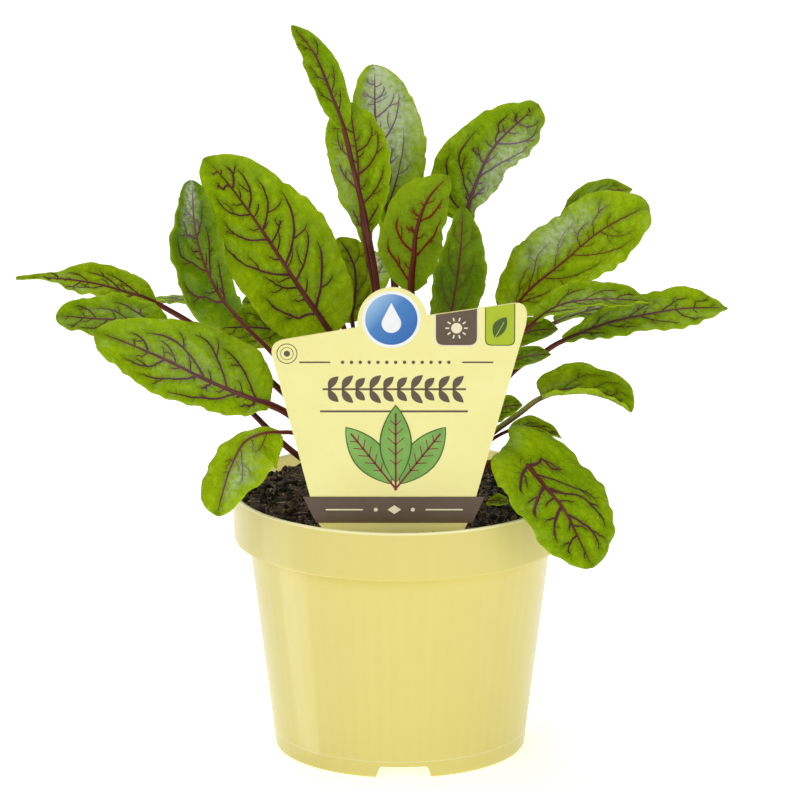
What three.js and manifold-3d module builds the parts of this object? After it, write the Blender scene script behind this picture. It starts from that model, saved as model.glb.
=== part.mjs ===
import * as THREE from 'three';
import * as BufferGeometryUtils from 'three/addons/utils/BufferGeometryUtils.js';
import Module from 'manifold-3d';

// A sorrel plant in a 12 cm plastic pot: pot, potting soil, plant label, and a rosette of
// red-stalked leaves. Millimetres, Z up, the pot stands on z = 0 and its axis is the Z axis.

const wasm = await Module();
wasm.setup();

// clearance between pieces that lie against each other
const gap = 0.3;

// pot
const potHeight = 95;
const potRimRadius = 60;
const potRimLowRadius = 59.3;
const potRimLowHeight = 76.9;
const potNeckRadius = 54.1;
const potBaseRadius = 44.7;
const potWall = 1.3;
const potEdge = 0.8;
const potLineHeight = 6.2;
const potLineDepth = 0.2;
const potFloorHeight = 5;
const potFloorThickness = 1.4;
const potFootWidth = 2.6;
const potFloorRadius = 41.1;
const centreFootRadius = 12;
const potSegments = 54;
const footNotchCount = 3;
const footNotchHeight = 4.4;
const footNotchTopWidth = 17;
const footNotchBottomWidth = 20.5;
const drainHoleCount = 6;
const drainHoleRadius = 4;
const drainHoleCircle = 26;

// soil
const soilTop = 91;
const soilSegments = 36;
const soilLump = 1.1;

// crown, the short thick stem that all leaf stalks grow from
const crownRadius = 12;
const crownBottom = 70;
const crownWidestHeight = 90;
const crownTop = 93;
const crownSegments = 14;

// label
const labelThickness = 0.8;
const labelY = -47;
const labelBumpCentre = [-2.6, 168];
const labelBumpRadius = 12.2;

// leaves
const bladeThickness = 0.8;
const ribTipRadius = 0.5;
const slotEnd = 0.8;
const edgeWaves = 2.5;
const rowLength = 5.5;
const stalkSides = 5;

// Every path runs from the crown to the leaf tip in [x, y, z]. The blade begins at point
// number neck of its path. half is the half width of the blade, face the side that its
// upper surface looks to, fold the angle in radians by which the two halves are cupped,
// and wave the height of the waved edge. Optional: widest, where along the blade it is
// widest; base and tip, how slowly it widens and narrows; start, its width at the neck;
// lobe, how far its corners reach back past the neck; skew, how much wider one half is
// than the other, at the neck and at the tip.
const leaves = [
  {
    name: 'leaf_01', neck: 5, half: 5.8, stalk: [1.7, 1.1], face: [0.4, -1, 0.2], fold: 0.4, wave: 0.7,
    path: [[-4, 1, 90], [-5, 0, 130], [-8, -1, 168], [-12, -2, 192], [-16, -2, 210], [-20, -2, 227],
      [-24, -1, 238], [-30, 2, 252], [-38, 5, 262]],
  },
  {
    name: 'leaf_02', neck: 3, half: 12.6, stalk: [1.5, 1.1], face: [-0.45, -1, 0.2], fold: 0.3, wave: 0.9,
    widest: 0.62, base: 1.4, tip: 0.45, skew: [0.3, 0],
    path: [[-3, 5, 90], [-5, 5, 130], [-9, 5, 165], [-12, 4, 182], [-14, 4, 198], [-15, 5, 215],
      [-18, 7, 234]],
  },
  {
    name: 'leaf_03', neck: 3, half: 14.8, stalk: [1.8, 1.3], face: [0.5, -1, 0.3], fold: 0.3, wave: 1.1,
    widest: 0.55, base: 0.6, tip: 0.55, skew: [0.35, 0.35],
    path: [[1, 6, 90], [0, 9, 130], [-2, 11, 168], [-4, 13, 188], [-6, 14, 202], [-8, 16, 216],
      [-9, 17, 230], [-9, 18, 245]],
  },
  {
    name: 'leaf_04', neck: 2, half: 12.6, stalk: [1.7, 1.2], face: [0.5, 0.9, 0.2], fold: -0.3, wave: 0.9,
    skew: [0.2, 0],
    path: [[2, -4, 90], [4, -8, 130], [4, -8, 169], [5, -8, 181], [6, -7, 191], [10, -6, 202],
      [17, -5, 210]],
  },
  {
    name: 'leaf_05', neck: 4, half: 13.4, stalk: [1.8, 1.3], face: [-0.55, -0.9, 0.4], fold: 0.3,
    wave: 1.2, widest: 0.45, base: 0.4, tip: 0.42, skew: [-0.45, 0.1],
    path: [[4, 4, 90], [9, 5, 125], [15, 6, 155], [20, 6, 176], [23, 6, 191], [29, 8, 205],
      [38, 10, 218], [53, 12, 228]],
  },
  {
    name: 'leaf_06', neck: 3, half: 10.9, stalk: [1.6, 1.1], face: [0.5, -1, 0.2], fold: 0.3, wave: 0.7,
    path: [[5, -5, 90], [9, -10, 115], [13, -15, 138], [16, -18, 155], [19, -20, 170], [21, -21, 186],
      [22, -22, 203]],
  },
  {
    name: 'leaf_07', neck: 4, half: 17.4, stalk: [1.9, 1.4], face: [-0.6, -0.75, 0.5], fold: 0.25,
    wave: 1.4, widest: 0.5, base: 0.45, tip: 0.42, skew: [-0.25, 0.15],
    path: [[7, 0, 90], [14, -1, 110], [23, -2, 133], [31, -1, 148], [38, 0, 157], [46, 1, 167],
      [58, 2, 177], [71, 3, 188], [88, 5, 197]],
  },
  {
    name: 'leaf_08', neck: 4, half: 7.5, stalk: [1.5, 0.9], face: [-0.4, -0.7, 0.6], fold: 0.3, wave: 0.5,
    path: [[6, 6, 90], [15, 14, 115], [30, 21, 145], [46, 25, 170], [58, 27, 183], [70, 28, 195],
      [83, 30, 197]],
  },
  {
    name: 'leaf_09', neck: 5, half: 9.2, stalk: [1.7, 1.2], face: [0, -0.6, 0.8], fold: 0.35, wave: 0.9,
    widest: 0.66, base: 1.4, tip: 0.8, skew: [-0.3, 0],
    path: [[7, -3, 90], [18, -6, 108], [30, -9, 126], [40, -10, 140], [51, -9, 147], [58, -8, 151],
      [73, -8, 157], [87, -7, 160], [101, -6, 162], [116, -5, 162]],
  },
  {
    name: 'leaf_10', neck: 4, half: 9, stalk: [1.6, 1.1], face: [0, -0.35, 0.94], fold: 0.6, wave: 0.7,
    tip: 0.8,
    path: [[6, -6, 90], [15, -11, 108], [27, -15, 132], [38, -18, 150], [48, -19, 161], [57, -20, 167],
      [71, -20, 169], [89, -20, 168]],
  },
  {
    name: 'leaf_11', neck: 3, half: 4.5, stalk: [1.3, 0.9], face: [0, -0.6, 0.8], fold: 0.3, wave: 0.4,
    path: [[6, -8, 90], [16, -16, 112], [28, -21, 134], [37, -22, 145], [45, -23, 149], [53, -24, 150]],
  },
  {
    name: 'leaf_12', neck: 3, half: 6, stalk: [1.3, 0.9], face: [0, -0.6, 0.8], fold: 0.3, wave: 0.4,
    path: [[8, -2, 90], [17, -1, 112], [30, 0, 138], [39, 1, 148], [47, 1, 152], [56, 0, 153]],
  },
  {
    name: 'leaf_13', neck: 3, half: 5, stalk: [1.2, 0.8], face: [0, -0.7, 0.7], fold: 0.3, wave: 0.3,
    path: [[7, -8, 90], [15, -17, 104], [24, -22, 119], [31, -24, 127], [37, -25, 131], [43, -26, 132]],
  },
  {
    name: 'leaf_14', neck: 4, half: 11, stalk: [1.8, 1.3], face: [0, -0.2, 0.98], fold: 0.9, wave: 0.6,
    start: 0.35, base: 0.4, tip: 0.5,
    path: [[7, -4, 90], [18, -9, 104], [31, -13, 117], [42, -15, 126], [50, -15, 132], [60, -15, 135],
      [70, -15, 134], [77, -15, 131], [82, -16, 127]],
  },
  {
    name: 'leaf_15', neck: 4, half: 19, stalk: [1.8, 1.3], face: [0.4, -0.6, 0.65], fold: -0.3, wave: 1.2,
    start: 0.9, lobe: 0.55, tip: 0.55, skew: [-0.3, -0.1],
    path: [[5, -7, 90], [14, -18, 101], [26, -30, 111], [37, -39, 117], [44, -43, 115], [51, -48, 108],
      [57, -54, 102], [62, -58, 93], [67, -62, 83]],
  },
  {
    name: 'leaf_16', neck: 3, half: 5, stalk: [1.2, 0.8], face: [0, -0.2, 0.98], fold: 0.8, wave: 0.3,
    path: [[6, -7, 90], [18, -15, 103], [30, -20, 116], [39, -22, 122], [47, -22, 123], [57, -22, 119]],
  },
  {
    name: 'leaf_17', neck: 4, half: 16, stalk: [1.9, 1.4], face: [0.1, -0.8, 0.6], fold: 0.25, wave: 1.3,
    base: 0.45, tip: 0.6, skew: [0.5, -0.1],
    path: [[-6, -5, 90], [-15, -14, 102], [-27, -24, 117], [-38, -30, 129], [-46, -32, 134],
      [-54, -33, 137], [-68, -33, 143], [-82, -32, 150], [-96, -31, 156], [-107, -30, 160]],
  },
  {
    name: 'leaf_18', neck: 4, half: 11.5, stalk: [1.7, 1.2], face: [-0.5, -0.75, 0.5], fold: -0.25,
    wave: 0.9, widest: 0.6, base: 0.5, tip: 0.6, skew: [-0.85, 0.35],
    path: [[-6, -7, 90], [-15, -18, 102], [-26, -29, 116], [-35, -36, 124], [-42, -40, 126],
      [-49, -43, 126], [-55, -46, 123], [-60, -49, 113], [-64, -52, 99]],
  },
  {
    name: 'leaf_19', neck: 4, half: 9.5, stalk: [1.8, 1.2], face: [0, -0.5, 0.87], fold: 0.4, wave: 0.9,
    widest: 0.32, base: 0.9, tip: 2.2,
    path: [[-8, 0, 90], [-22, 2, 107], [-42, 4, 129], [-65, 4, 148], [-87, 3, 162], [-98, 3, 166],
      [-109, 3, 169], [-122, 2, 171], [-136, 0, 172]],
  },
  {
    name: 'leaf_20', neck: 5, half: 10.3, stalk: [1.7, 1.1], face: [0, -0.6, 0.8], fold: 0.3, wave: 0.8,
    base: 0.5, tip: 0.5,
    path: [[-8, -3, 90], [-20, -10, 98], [-31, -16, 107], [-42, -20, 117], [-55, -22, 131],
      [-83, -20, 157], [-97, -20, 161], [-109, -20, 162], [-121, -20, 163]],
  },
  {
    name: 'leaf_21', neck: 5, half: 10.8, stalk: [1.7, 1.3], face: [0.5, -0.9, 0.1], fold: 0.25, wave: 1.1,
    widest: 0.45, start: 0.4, base: 0.4, tip: 0.6, skew: [-0.4, 0.05],
    path: [[-6, -5, 90], [-17, -12, 107], [-32, -19, 131], [-44, -23, 149], [-52, -25, 158],
      [-58, -26, 165], [-64, -26, 173], [-69, -25, 184], [-72, -23, 196], [-73, -20, 212]],
  },
  {
    name: 'leaf_22', neck: 3, half: 21.8, stalk: [2.1, 1.6], face: [0.5, -0.9, 0.3], fold: 0.25, wave: 1.6,
    widest: 0.42, base: 0.5, tip: 0.7,
    path: [[-4, -2, 90], [-8, -4, 110], [-15, -6, 134], [-24, -6, 152], [-36, -5, 170], [-49, -3, 190],
      [-60, 0, 205], [-69, 2, 215]],
  },
  {
    name: 'leaf_23', neck: 3, half: 8.5, stalk: [1.5, 1.0], face: [0.2, -1, 0.2], fold: 0.3, wave: 0.6,
    tip: 0.6,
    path: [[-3, 4, 90], [-7, 8, 110], [-13, 10, 136], [-17, 10, 153], [-16, 11, 162], [-16, 12, 171],
      [-19, 13, 179], [-24, 14, 186]],
  },
  {
    name: 'leaf_24', neck: 3, half: 6, stalk: [1.3, 0.9], face: [0, -0.7, 0.7], fold: 0.3, wave: 0.4,
    path: [[-7, 3, 90], [-14, 5, 115], [-26, 5, 142], [-37, 5, 156], [-46, 5, 160], [-56, 5, 162]],
  },
  {
    name: 'leaf_25', neck: 3, half: 6, stalk: [1.4, 0.9], face: [0, -0.7, 0.7], fold: 0.3, wave: 0.5,
    path: [[-7, -1, 90], [-14, -4, 112], [-25, -6, 140], [-36, -6, 155], [-47, -6, 159], [-58, -6, 160]],
  },
  {
    name: 'leaf_26', neck: 4, half: 12, stalk: [1.8, 1.3], face: [0.1, -0.5, 0.87], fold: 0.3, wave: 1.4,
    path: [[0, 8, 90], [-2, 20, 108], [-5, 33, 130], [-8, 45, 144], [-10, 55, 152], [-13, 70, 158],
      [-15, 85, 159], [-17, 99, 154]],
  },
  {
    name: 'leaf_27', neck: 4, half: 13, stalk: [1.8, 1.3], face: [-0.6, -0.6, 0.6], fold: 0.3, wave: 1.3,
    path: [[4, 6, 90.5], [14, 19, 108], [25, 32, 130], [34, 42, 145], [41, 49, 154], [51, 58, 163],
      [61, 67, 168], [70, 75, 170]],
  },
  {
    name: 'leaf_28', neck: 4, half: 13, stalk: [1.8, 1.3], face: [0.5, -0.4, 0.8], fold: 0.3, wave: 1.3,
    path: [[-4, 6, 90.5], [-14, 19, 106], [-25, 32, 127], [-35, 44, 143], [-42, 52, 151], [-51, 63, 159],
      [-60, 74, 162], [-68, 84, 160]],
  },
  {
    name: 'leaf_29', neck: 4, half: 9, stalk: [1.6, 1.1], face: [-0.3, -0.2, 0.9], fold: 0.3, wave: 0.9,
    path: [[8, 3, 90], [19, 9, 110], [32, 15, 131], [45, 21, 144], [56, 26, 149], [70, 32, 152],
      [84, 38, 152], [97, 43, 149]],
  },
  {
    name: 'leaf_30', neck: 4, half: 11, stalk: [1.7, 1.2], face: [0.4, -0.2, 0.9], fold: 0.3, wave: 1.1,
    path: [[-8, 4, 90], [-20, 12, 107], [-34, 21, 126], [-47, 30, 140], [-57, 36, 147], [-69, 43, 151],
      [-81, 50, 151], [-93, 56, 147]],
  },
  {
    name: 'leaf_31', neck: 3, half: 11, stalk: [1.6, 1.1], face: [0.1, -0.2, 1], fold: 0.3, wave: 0.9,
    path: [[-2, 8, 90], [-8, 24, 103], [-14, 40, 116], [-19, 52, 122], [-24, 64, 123], [-29, 76, 119],
      [-33, 86, 110]],
  },
  {
    name: 'leaf_32', neck: 4, half: 12, stalk: [1.7, 1.2], face: [0.4, -0.8, 0.5], fold: 0.3, wave: 1.1,
    path: [[-3, 7, 90], [-9, 16, 112], [-17, 27, 137], [-23, 34, 152], [-28, 38, 161], [-36, 44, 173],
      [-44, 49, 183], [-52, 53, 190]],
  },
  {
    name: 'leaf_33', neck: 4, half: 11, stalk: [1.7, 1.2], face: [0, -0.85, 0.5], fold: 0.3, wave: 1.0,
    path: [[2, 8, 90], [3, 18, 115], [4, 28, 142], [4, 34, 157], [4, 38, 166], [3, 44, 180],
      [1, 49, 192], [-2, 53, 202]],
  },
  {
    name: 'leaf_34', neck: 3, half: 3, stalk: [1, 0.7], face: [0, -0.6, 0.8], fold: 0.4, wave: 0.2,
    path: [[7, -6, 91], [17, -16, 96], [26, -25, 97], [31, -30, 98], [34, -33, 99], [38, -36, 99]],
  },
];

// materials
const potMaterial = new THREE.MeshStandardMaterial({ color: 0xe6d983, roughness: 0.4, metalness: 0 });
const soilMaterial = new THREE.MeshStandardMaterial({ color: 0x2a231c, roughness: 0.95, metalness: 0 });
const labelMaterial = new THREE.MeshStandardMaterial({ color: 0xf5efa0, roughness: 0.5, metalness: 0 });
const stalkMaterial = new THREE.MeshStandardMaterial({ color: 0x6e2430, roughness: 0.45, metalness: 0 });

function bladeMaterial() {
  return new THREE.MeshStandardMaterial({ color: 0x76990f, roughness: 0.4, metalness: 0 });
}

// A closed three.js geometry as a manifold solid.
function toSolid(geometry) {
  const bare = geometry.index ? geometry.toNonIndexed() : geometry.clone();
  bare.deleteAttribute('normal');
  bare.deleteAttribute('uv');
  const merged = BufferGeometryUtils.mergeVertices(bare, 1e-4);
  const index = merged.index.array;
  const kept = [];
  for (let i = 0; i < index.length; i += 3) {
    const [a, b, c] = [index[i], index[i + 1], index[i + 2]];
    if (a !== b && b !== c && c !== a) {
      kept.push(a, b, c);
    }
  }
  const mesh = new wasm.Mesh({
    numProp: 3,
    vertProperties: new Float32Array(merged.attributes.position.array),
    triVerts: new Uint32Array(kept),
  });
  const solid = new wasm.Manifold(mesh);
  return solid.volume() < 0 ? new wasm.Manifold(flipped(mesh)) : solid;
}

function flipped(mesh) {
  const turned = Uint32Array.from(mesh.triVerts);
  for (let i = 0; i < turned.length; i += 3) {
    [turned[i + 1], turned[i + 2]] = [turned[i + 2], turned[i + 1]];
  }
  return new wasm.Mesh({ numProp: 3, vertProperties: mesh.vertProperties, triVerts: turned });
}

function toMesh(name, solid, material) {
  const cut = solid.getMesh();
  const geometry = new THREE.BufferGeometry();
  geometry.setAttribute('position', new THREE.Float32BufferAttribute(cut.vertProperties, 3));
  geometry.setIndex(Array.from(cut.triVerts));
  geometry.computeVertexNormals();
  const mesh = new THREE.Mesh(geometry, material);
  mesh.name = name;
  return mesh;
}

// A profile of [radius, height] points turned around the Z axis.
function turned(profile, segments) {
  const points = profile.map(([radius, height]) => new THREE.Vector2(radius, height));
  points.push(points[0].clone());
  return new THREE.LatheGeometry(points, segments).rotateX(Math.PI / 2);
}

// Radius of the pot's outer wall at a height between the base and the rim.
function potWallRadius(z) {
  return THREE.MathUtils.mapLinear(z, 0, potRimLowHeight, potBaseRadius, potNeckRadius);
}

// The pot: tapered wall, wide rim that stands out over it, rounded lip, raised floor, foot
// ring, and a small round foot that the floor dips down to in its middle.
function buildPot() {
  const floorTop = potFloorHeight + potFloorThickness;
  const outside = [
    [potBaseRadius - potEdge, 0],
    [potBaseRadius, potEdge],
    [potWallRadius(potLineHeight), potLineHeight],
    [potWallRadius(potLineHeight) - potLineDepth, potLineHeight + 0.4],
    [potNeckRadius, potRimLowHeight],
    [potRimLowRadius - potEdge, potRimLowHeight],
    [potRimLowRadius, potRimLowHeight + potEdge],
    [potRimRadius, potHeight - 1.2],
    [potRimRadius - 0.4, potHeight - 0.25],
    [potRimRadius - 1, potHeight],
    [potRimRadius - 1.5, potHeight - 0.4],
  ];
  const inside = [
    [potRimLowRadius - potWall - 0.2, potRimLowHeight + 2.4],
    [potRimLowRadius - potWall - 0.8, potRimLowHeight + 1.6],
    [potNeckRadius - potWall + 0.2, potRimLowHeight + 1.4],
    [potNeckRadius - potWall - 0.3, potRimLowHeight + 0.6],
    [potWallRadius(floorTop) - potWall - 0.2, floorTop + 1.6],
    [potFloorRadius, floorTop],
    [centreFootRadius, floorTop],
    [centreFootRadius - 1, potFloorThickness],
    [0, potFloorThickness],
    [0, 0],
    [centreFootRadius, 0],
    [centreFootRadius + potFloorThickness, potFloorHeight],
    [potFloorRadius, potFloorHeight],
    [potBaseRadius - potFootWidth, 0],
  ];
  const points = [...outside, ...inside].map(([radius, height]) => new THREE.Vector2(radius, height));
  points.push(points[0].clone());
  const shell = toSolid(new THREE.LatheGeometry(points, potSegments).rotateX(Math.PI / 2));
  const cutters = [];
  for (let i = 0; i < footNotchCount; i += 1) {
    cutters.push(footNotch(-Math.PI / 2 + (i * 2 * Math.PI) / footNotchCount + 0.03));
  }
  for (let i = 0; i < drainHoleCount; i += 1) {
    const hole = new THREE.CylinderGeometry(drainHoleRadius, drainHoleRadius, 6, 16).rotateX(Math.PI / 2);
    const angle = ((i + 0.5) * 2 * Math.PI) / drainHoleCount;
    hole.translate(
      drainHoleCircle * Math.cos(angle),
      drainHoleCircle * Math.sin(angle),
      potFloorHeight + potFloorThickness / 2,
    );
    cutters.push(toSolid(hole));
  }
  return cutters.reduce((solid, cutter) => solid.subtract(cutter), shell);
}

// A notch in the foot ring that widens downward, on the side of the given angle.
function footNotch(angle) {
  const outline = new THREE.Shape();
  outline.moveTo(-footNotchBottomWidth / 2, -1);
  outline.lineTo(footNotchBottomWidth / 2, -1);
  outline.lineTo(footNotchTopWidth / 2 + 0.6, footNotchHeight - 0.8);
  outline.lineTo(footNotchTopWidth / 2 - 0.4, footNotchHeight);
  outline.lineTo(-footNotchTopWidth / 2 + 0.4, footNotchHeight);
  outline.lineTo(-footNotchTopWidth / 2 - 0.6, footNotchHeight - 0.8);
  outline.closePath();
  const notch = new THREE.ExtrudeGeometry(outline, { depth: 12, bevelEnabled: false });
  notch.rotateX(Math.PI / 2).rotateZ(Math.PI / 2);
  notch.translate(potBaseRadius - 8, 0, 0).rotateZ(angle);
  return toSolid(notch);
}

// Uneven height of the soil, from three crossed waves and a dip round the crown.
function soilHeight(x, y) {
  const dip = 1.4 * Math.exp(-(x * x + y * y) / 300);
  const long = Math.sin(0.13 * x + 0.7) * Math.cos(0.11 * y - 0.4);
  const middle = Math.sin(0.29 * x - 0.21 * y + 1.9);
  const short = Math.sin(0.47 * x + 1.1) * Math.sin(0.53 * y + 0.3);
  return soilTop - dip + soilLump * (0.6 * long + 0.4 * middle + 0.5 * short);
}

// The soil fills the pot, with a lumpy top, a hollow that the crown stands in, and a slit
// for the label.
function buildSoil() {
  const floorTop = potFloorHeight + potFloorThickness + gap;
  const rings = [crownRadius + 2 * gap, 20, 28, 36, 44, 51, 57.6];
  const topMark = soilTop + 1;
  const wall = [
    [potRimLowRadius - potWall - gap - 0.6, potRimLowHeight + 3],
    [potRimLowRadius - potWall - gap - 1.2, potRimLowHeight + 2],
    [potNeckRadius - potWall - gap - 0.2, potRimLowHeight + 1.8],
    [potNeckRadius - potWall - gap - 0.6, potRimLowHeight],
    [potWallRadius(floorTop) - potWall - gap - 1, floorTop + 2.1],
    [potFloorRadius - 1.4, floorTop],
    [centreFootRadius - gap - 0.1, floorTop],
    [centreFootRadius - gap - 1, potFloorThickness + gap],
    [0, potFloorThickness + gap],
  ];
  const hollow = crownProfile(gap).slice(0, 3);
  const profile = [...rings.map((radius) => [radius, topMark]), ...wall, ...hollow];
  const geometry = turned(profile, soilSegments);
  const position = geometry.attributes.position;
  for (let i = 0; i < position.count; i += 1) {
    if (position.getZ(i) > soilTop) {
      position.setZ(i, soilHeight(position.getX(i), position.getY(i)));
    }
  }
  const slot = toSolid(labelGeometry(labelThickness + 2 * gap, gap));
  return toSolid(geometry).subtract(slot);
}

// Outline of the label: a slanted top with a round bump, and a stake that runs to a blunt point.
function labelOutline(grow) {
  const [bumpX, bumpZ] = labelBumpCentre;
  const start = THREE.MathUtils.degToRad(10);
  const end = THREE.MathUtils.degToRad(190);
  const outline = new THREE.Shape();
  outline.moveTo(-3, 56 - grow);
  outline.lineTo(3, 56 - grow);
  outline.lineTo(24.3 + grow, 96);
  outline.lineTo(43.8 + grow, 166.5);
  outline.quadraticCurveTo(45.6 + grow, 175, 40 + grow, 174.6 + grow);
  outline.lineTo(
    bumpX + labelBumpRadius * Math.cos(start),
    bumpZ + labelBumpRadius * Math.sin(start) + grow,
  );
  outline.absarc(bumpX, bumpZ, labelBumpRadius + grow, start, end, false);
  outline.lineTo(-40 - grow, 161.6 + grow);
  outline.quadraticCurveTo(-45.8 - grow, 160.6, -44.6 - grow, 155.5);
  outline.lineTo(-29.3 - grow, 96);
  outline.closePath();
  return outline;
}

function labelGeometry(thickness, grow) {
  const flat = new THREE.ExtrudeGeometry(labelOutline(grow), {
    depth: thickness,
    bevelEnabled: false,
    curveSegments: 8,
  });
  return flat.rotateX(Math.PI / 2).translate(0, labelY + thickness / 2, 0);
}

// The curve, the frame and the sizes of one leaf along its stalk and blade.
class LeafForm {
  constructor(leaf) {
    this.leaf = leaf;
    const points = leaf.path.map((point) => new THREE.Vector3(...point));
    this.curve = new THREE.CatmullRomCurve3(points, false, 'catmullrom', 0.5);
    this.curve.arcLengthDivisions = 200;
    const lengths = this.curve.getLengths();
    this.length = lengths[lengths.length - 1];
    this.neckAt = lengths[Math.round((200 * leaf.neck) / (leaf.path.length - 1))] / this.length;
    this.bladeLength = this.length * (1 - this.neckAt);
    this.rows = THREE.MathUtils.clamp(Math.round(this.bladeLength / rowLength), 7, 14);
    this.cols = leaf.half > 12 || leaf.start ? 3 : 2;
    this.slotRow = Math.floor(slotEnd * this.rows);
  }

  // Centre point, cross direction and upper normal at a fraction of the whole curve.
  frame(at) {
    const centre = this.curve.getPointAt(at);
    const along = this.curve.getTangentAt(at);
    const face = new THREE.Vector3(...this.leaf.face);
    const cross = new THREE.Vector3().crossVectors(along, face).normalize();
    const up = new THREE.Vector3().crossVectors(cross, along);
    return { centre, along, cross, up };
  }

  // Half width of the blade on one side, u from the neck to the tip.
  halfWidth(u, side) {
    const { half, widest = 0.42, base = 0.6, tip = 0.75, start = 0.1, skew = [0, 0] } = this.leaf;
    const share = 1 + side * THREE.MathUtils.lerp(skew[0], skew[1], u);
    if (u < widest) {
      return half * share * (start + (1 - start) * (1 - (1 - u / widest) ** 2) ** base);
    }
    return half * share * Math.max(0, 1 - ((u - widest) / (1 - widest)) ** 2) ** tip;
  }

  // Radius of the rib inside the blade.
  ribRadius(u) {
    return THREE.MathUtils.lerp(this.leaf.stalk[1], ribTipRadius, Math.min(1, u / slotEnd));
  }

  // Point on the blade: t from the rib (0) to the edge (1) of the half on the given side.
  bladePoint(row, t, side, rise) {
    const u = row / this.rows;
    const { centre, along, cross, up } = this.frame(this.neckAt + u * (1 - this.neckAt));
    const slot = row <= this.slotRow ? this.ribRadius(u) + gap : 0;
    const half = row === this.rows ? 0 : Math.max(this.halfWidth(u, side), slot + 0.9);
    const reach = THREE.MathUtils.lerp(slot, half, t);
    const v = half > 0 ? reach / half : 0;
    const fold = this.leaf.fold;
    const lateral = half * Math.sin(fold * v) / fold;
    const lift = half * (1 - Math.cos(fold * v)) / fold;
    const phase = side > 0 ? 0 : 2;
    const wave = this.leaf.wave * Math.sin(2 * Math.PI * edgeWaves * u + phase) * v * v;
    const nearNeck = Math.max(0, 1 - u / 0.35) ** 1.5;
    const back = (this.leaf.lobe ?? 0) * half * Math.sin(Math.PI * v ** 0.8) * nearNeck;
    const point = centre.clone();
    point.addScaledVector(cross, side * (lateral - rise * Math.sin(fold * v)));
    point.addScaledVector(up, lift + wave + rise * Math.cos(fold * v));
    point.addScaledVector(along, -back);
    return point;
  }
}

// A blade as one closed thin solid, with a slot from its base for the rib.
function buildBlade(form) {
  const corners = [];
  const triangle = (...points) => points.forEach((p) => corners.push(p.x, p.y, p.z));
  const quad = (a, b, c, d) => {
    triangle(a, b, c);
    triangle(a, c, d);
  };
  const { rows, cols, slotRow } = form;
  for (const side of [1, -1]) {
    const at = (row, col, rise) => form.bladePoint(row, col / cols, side, rise * bladeThickness / 2);
    const wind = side > 0 ? quad : (a, b, c, d) => quad(a, d, c, b);
    for (let i = 0; i < rows; i += 1) {
      for (let j = 0; j < cols; j += 1) {
        wind(at(i, j, 1), at(i, j + 1, 1), at(i + 1, j + 1, 1), at(i + 1, j, 1));
        wind(at(i, j, -1), at(i + 1, j, -1), at(i + 1, j + 1, -1), at(i, j + 1, -1));
      }
      wind(at(i, cols, 1), at(i, cols, -1), at(i + 1, cols, -1), at(i + 1, cols, 1));
      if (i <= slotRow) {
        wind(at(i, 0, 1), at(i + 1, 0, 1), at(i + 1, 0, -1), at(i, 0, -1));
      }
    }
    for (let j = 0; j < cols; j += 1) {
      wind(at(0, j, 1), at(0, j, -1), at(0, j + 1, -1), at(0, j + 1, 1));
    }
  }
  const geometry = new THREE.BufferGeometry();
  geometry.setAttribute('position', new THREE.Float32BufferAttribute(corners, 3));
  return toSolid(geometry);
}

// A tube with flat ends through rings of the given stations.
function tube(stations, sides) {
  const corners = [];
  const ring = ({ centre, cross, up, radius }) => Array.from({ length: sides }, (_, k) => {
    const angle = ((k + 0.25) * 2 * Math.PI) / sides;
    return centre.clone()
      .addScaledVector(cross, radius * Math.cos(angle))
      .addScaledVector(up, radius * Math.sin(angle));
  });
  const triangle = (...points) => points.forEach((p) => corners.push(p.x, p.y, p.z));
  const rings = stations.map(ring);
  for (let i = 0; i + 1 < rings.length; i += 1) {
    for (let k = 0; k < sides; k += 1) {
      const next = (k + 1) % sides;
      triangle(rings[i][k], rings[i][next], rings[i + 1][next]);
      triangle(rings[i][k], rings[i + 1][next], rings[i + 1][k]);
    }
  }
  const last = rings[rings.length - 1];
  for (let k = 1; k + 1 < sides; k += 1) {
    triangle(rings[0][0], rings[0][k + 1], rings[0][k]);
    triangle(last[0], last[k], last[k + 1]);
  }
  const geometry = new THREE.BufferGeometry();
  geometry.setAttribute('position', new THREE.Float32BufferAttribute(corners, 3));
  return toSolid(geometry);
}

// The stalk of one leaf with its rib, from inside the crown to near the leaf tip.
function buildStalk(form) {
  const stations = [];
  const steps = Math.max(4, Math.round((form.length * form.neckAt) / 14));
  for (let i = 0; i < steps; i += 1) {
    const at = (i / steps) * form.neckAt;
    const radius = THREE.MathUtils.lerp(form.leaf.stalk[0], form.leaf.stalk[1], i / steps);
    stations.push({ ...form.frame(at), radius });
  }
  for (let row = 0; row <= form.slotRow; row += 1) {
    const u = row / form.rows;
    stations.push({ ...form.frame(form.neckAt + u * (1 - form.neckAt)), radius: form.ribRadius(u) });
  }
  return tube(stations, stalkSides);
}

// The crown: a short tapering stem in the soil with a rounded top.
function crownProfile(grow) {
  return [
    [0, crownBottom - grow],
    [3 + grow, crownBottom + 1 - grow],
    [crownRadius * 0.8 + grow, crownBottom + 13 - grow],
    [crownRadius + grow, crownWidestHeight],
    [crownRadius * 0.87 + grow, crownTop],
    [crownRadius * 0.5, crownTop + 2 + grow],
    [0, crownTop + 2.6 + grow],
  ];
}

function buildCrown() {
  const points = crownProfile(0).map(([radius, height]) => new THREE.Vector2(radius, height));
  return toSolid(new THREE.LatheGeometry(points, crownSegments).rotateX(Math.PI / 2));
}

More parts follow.
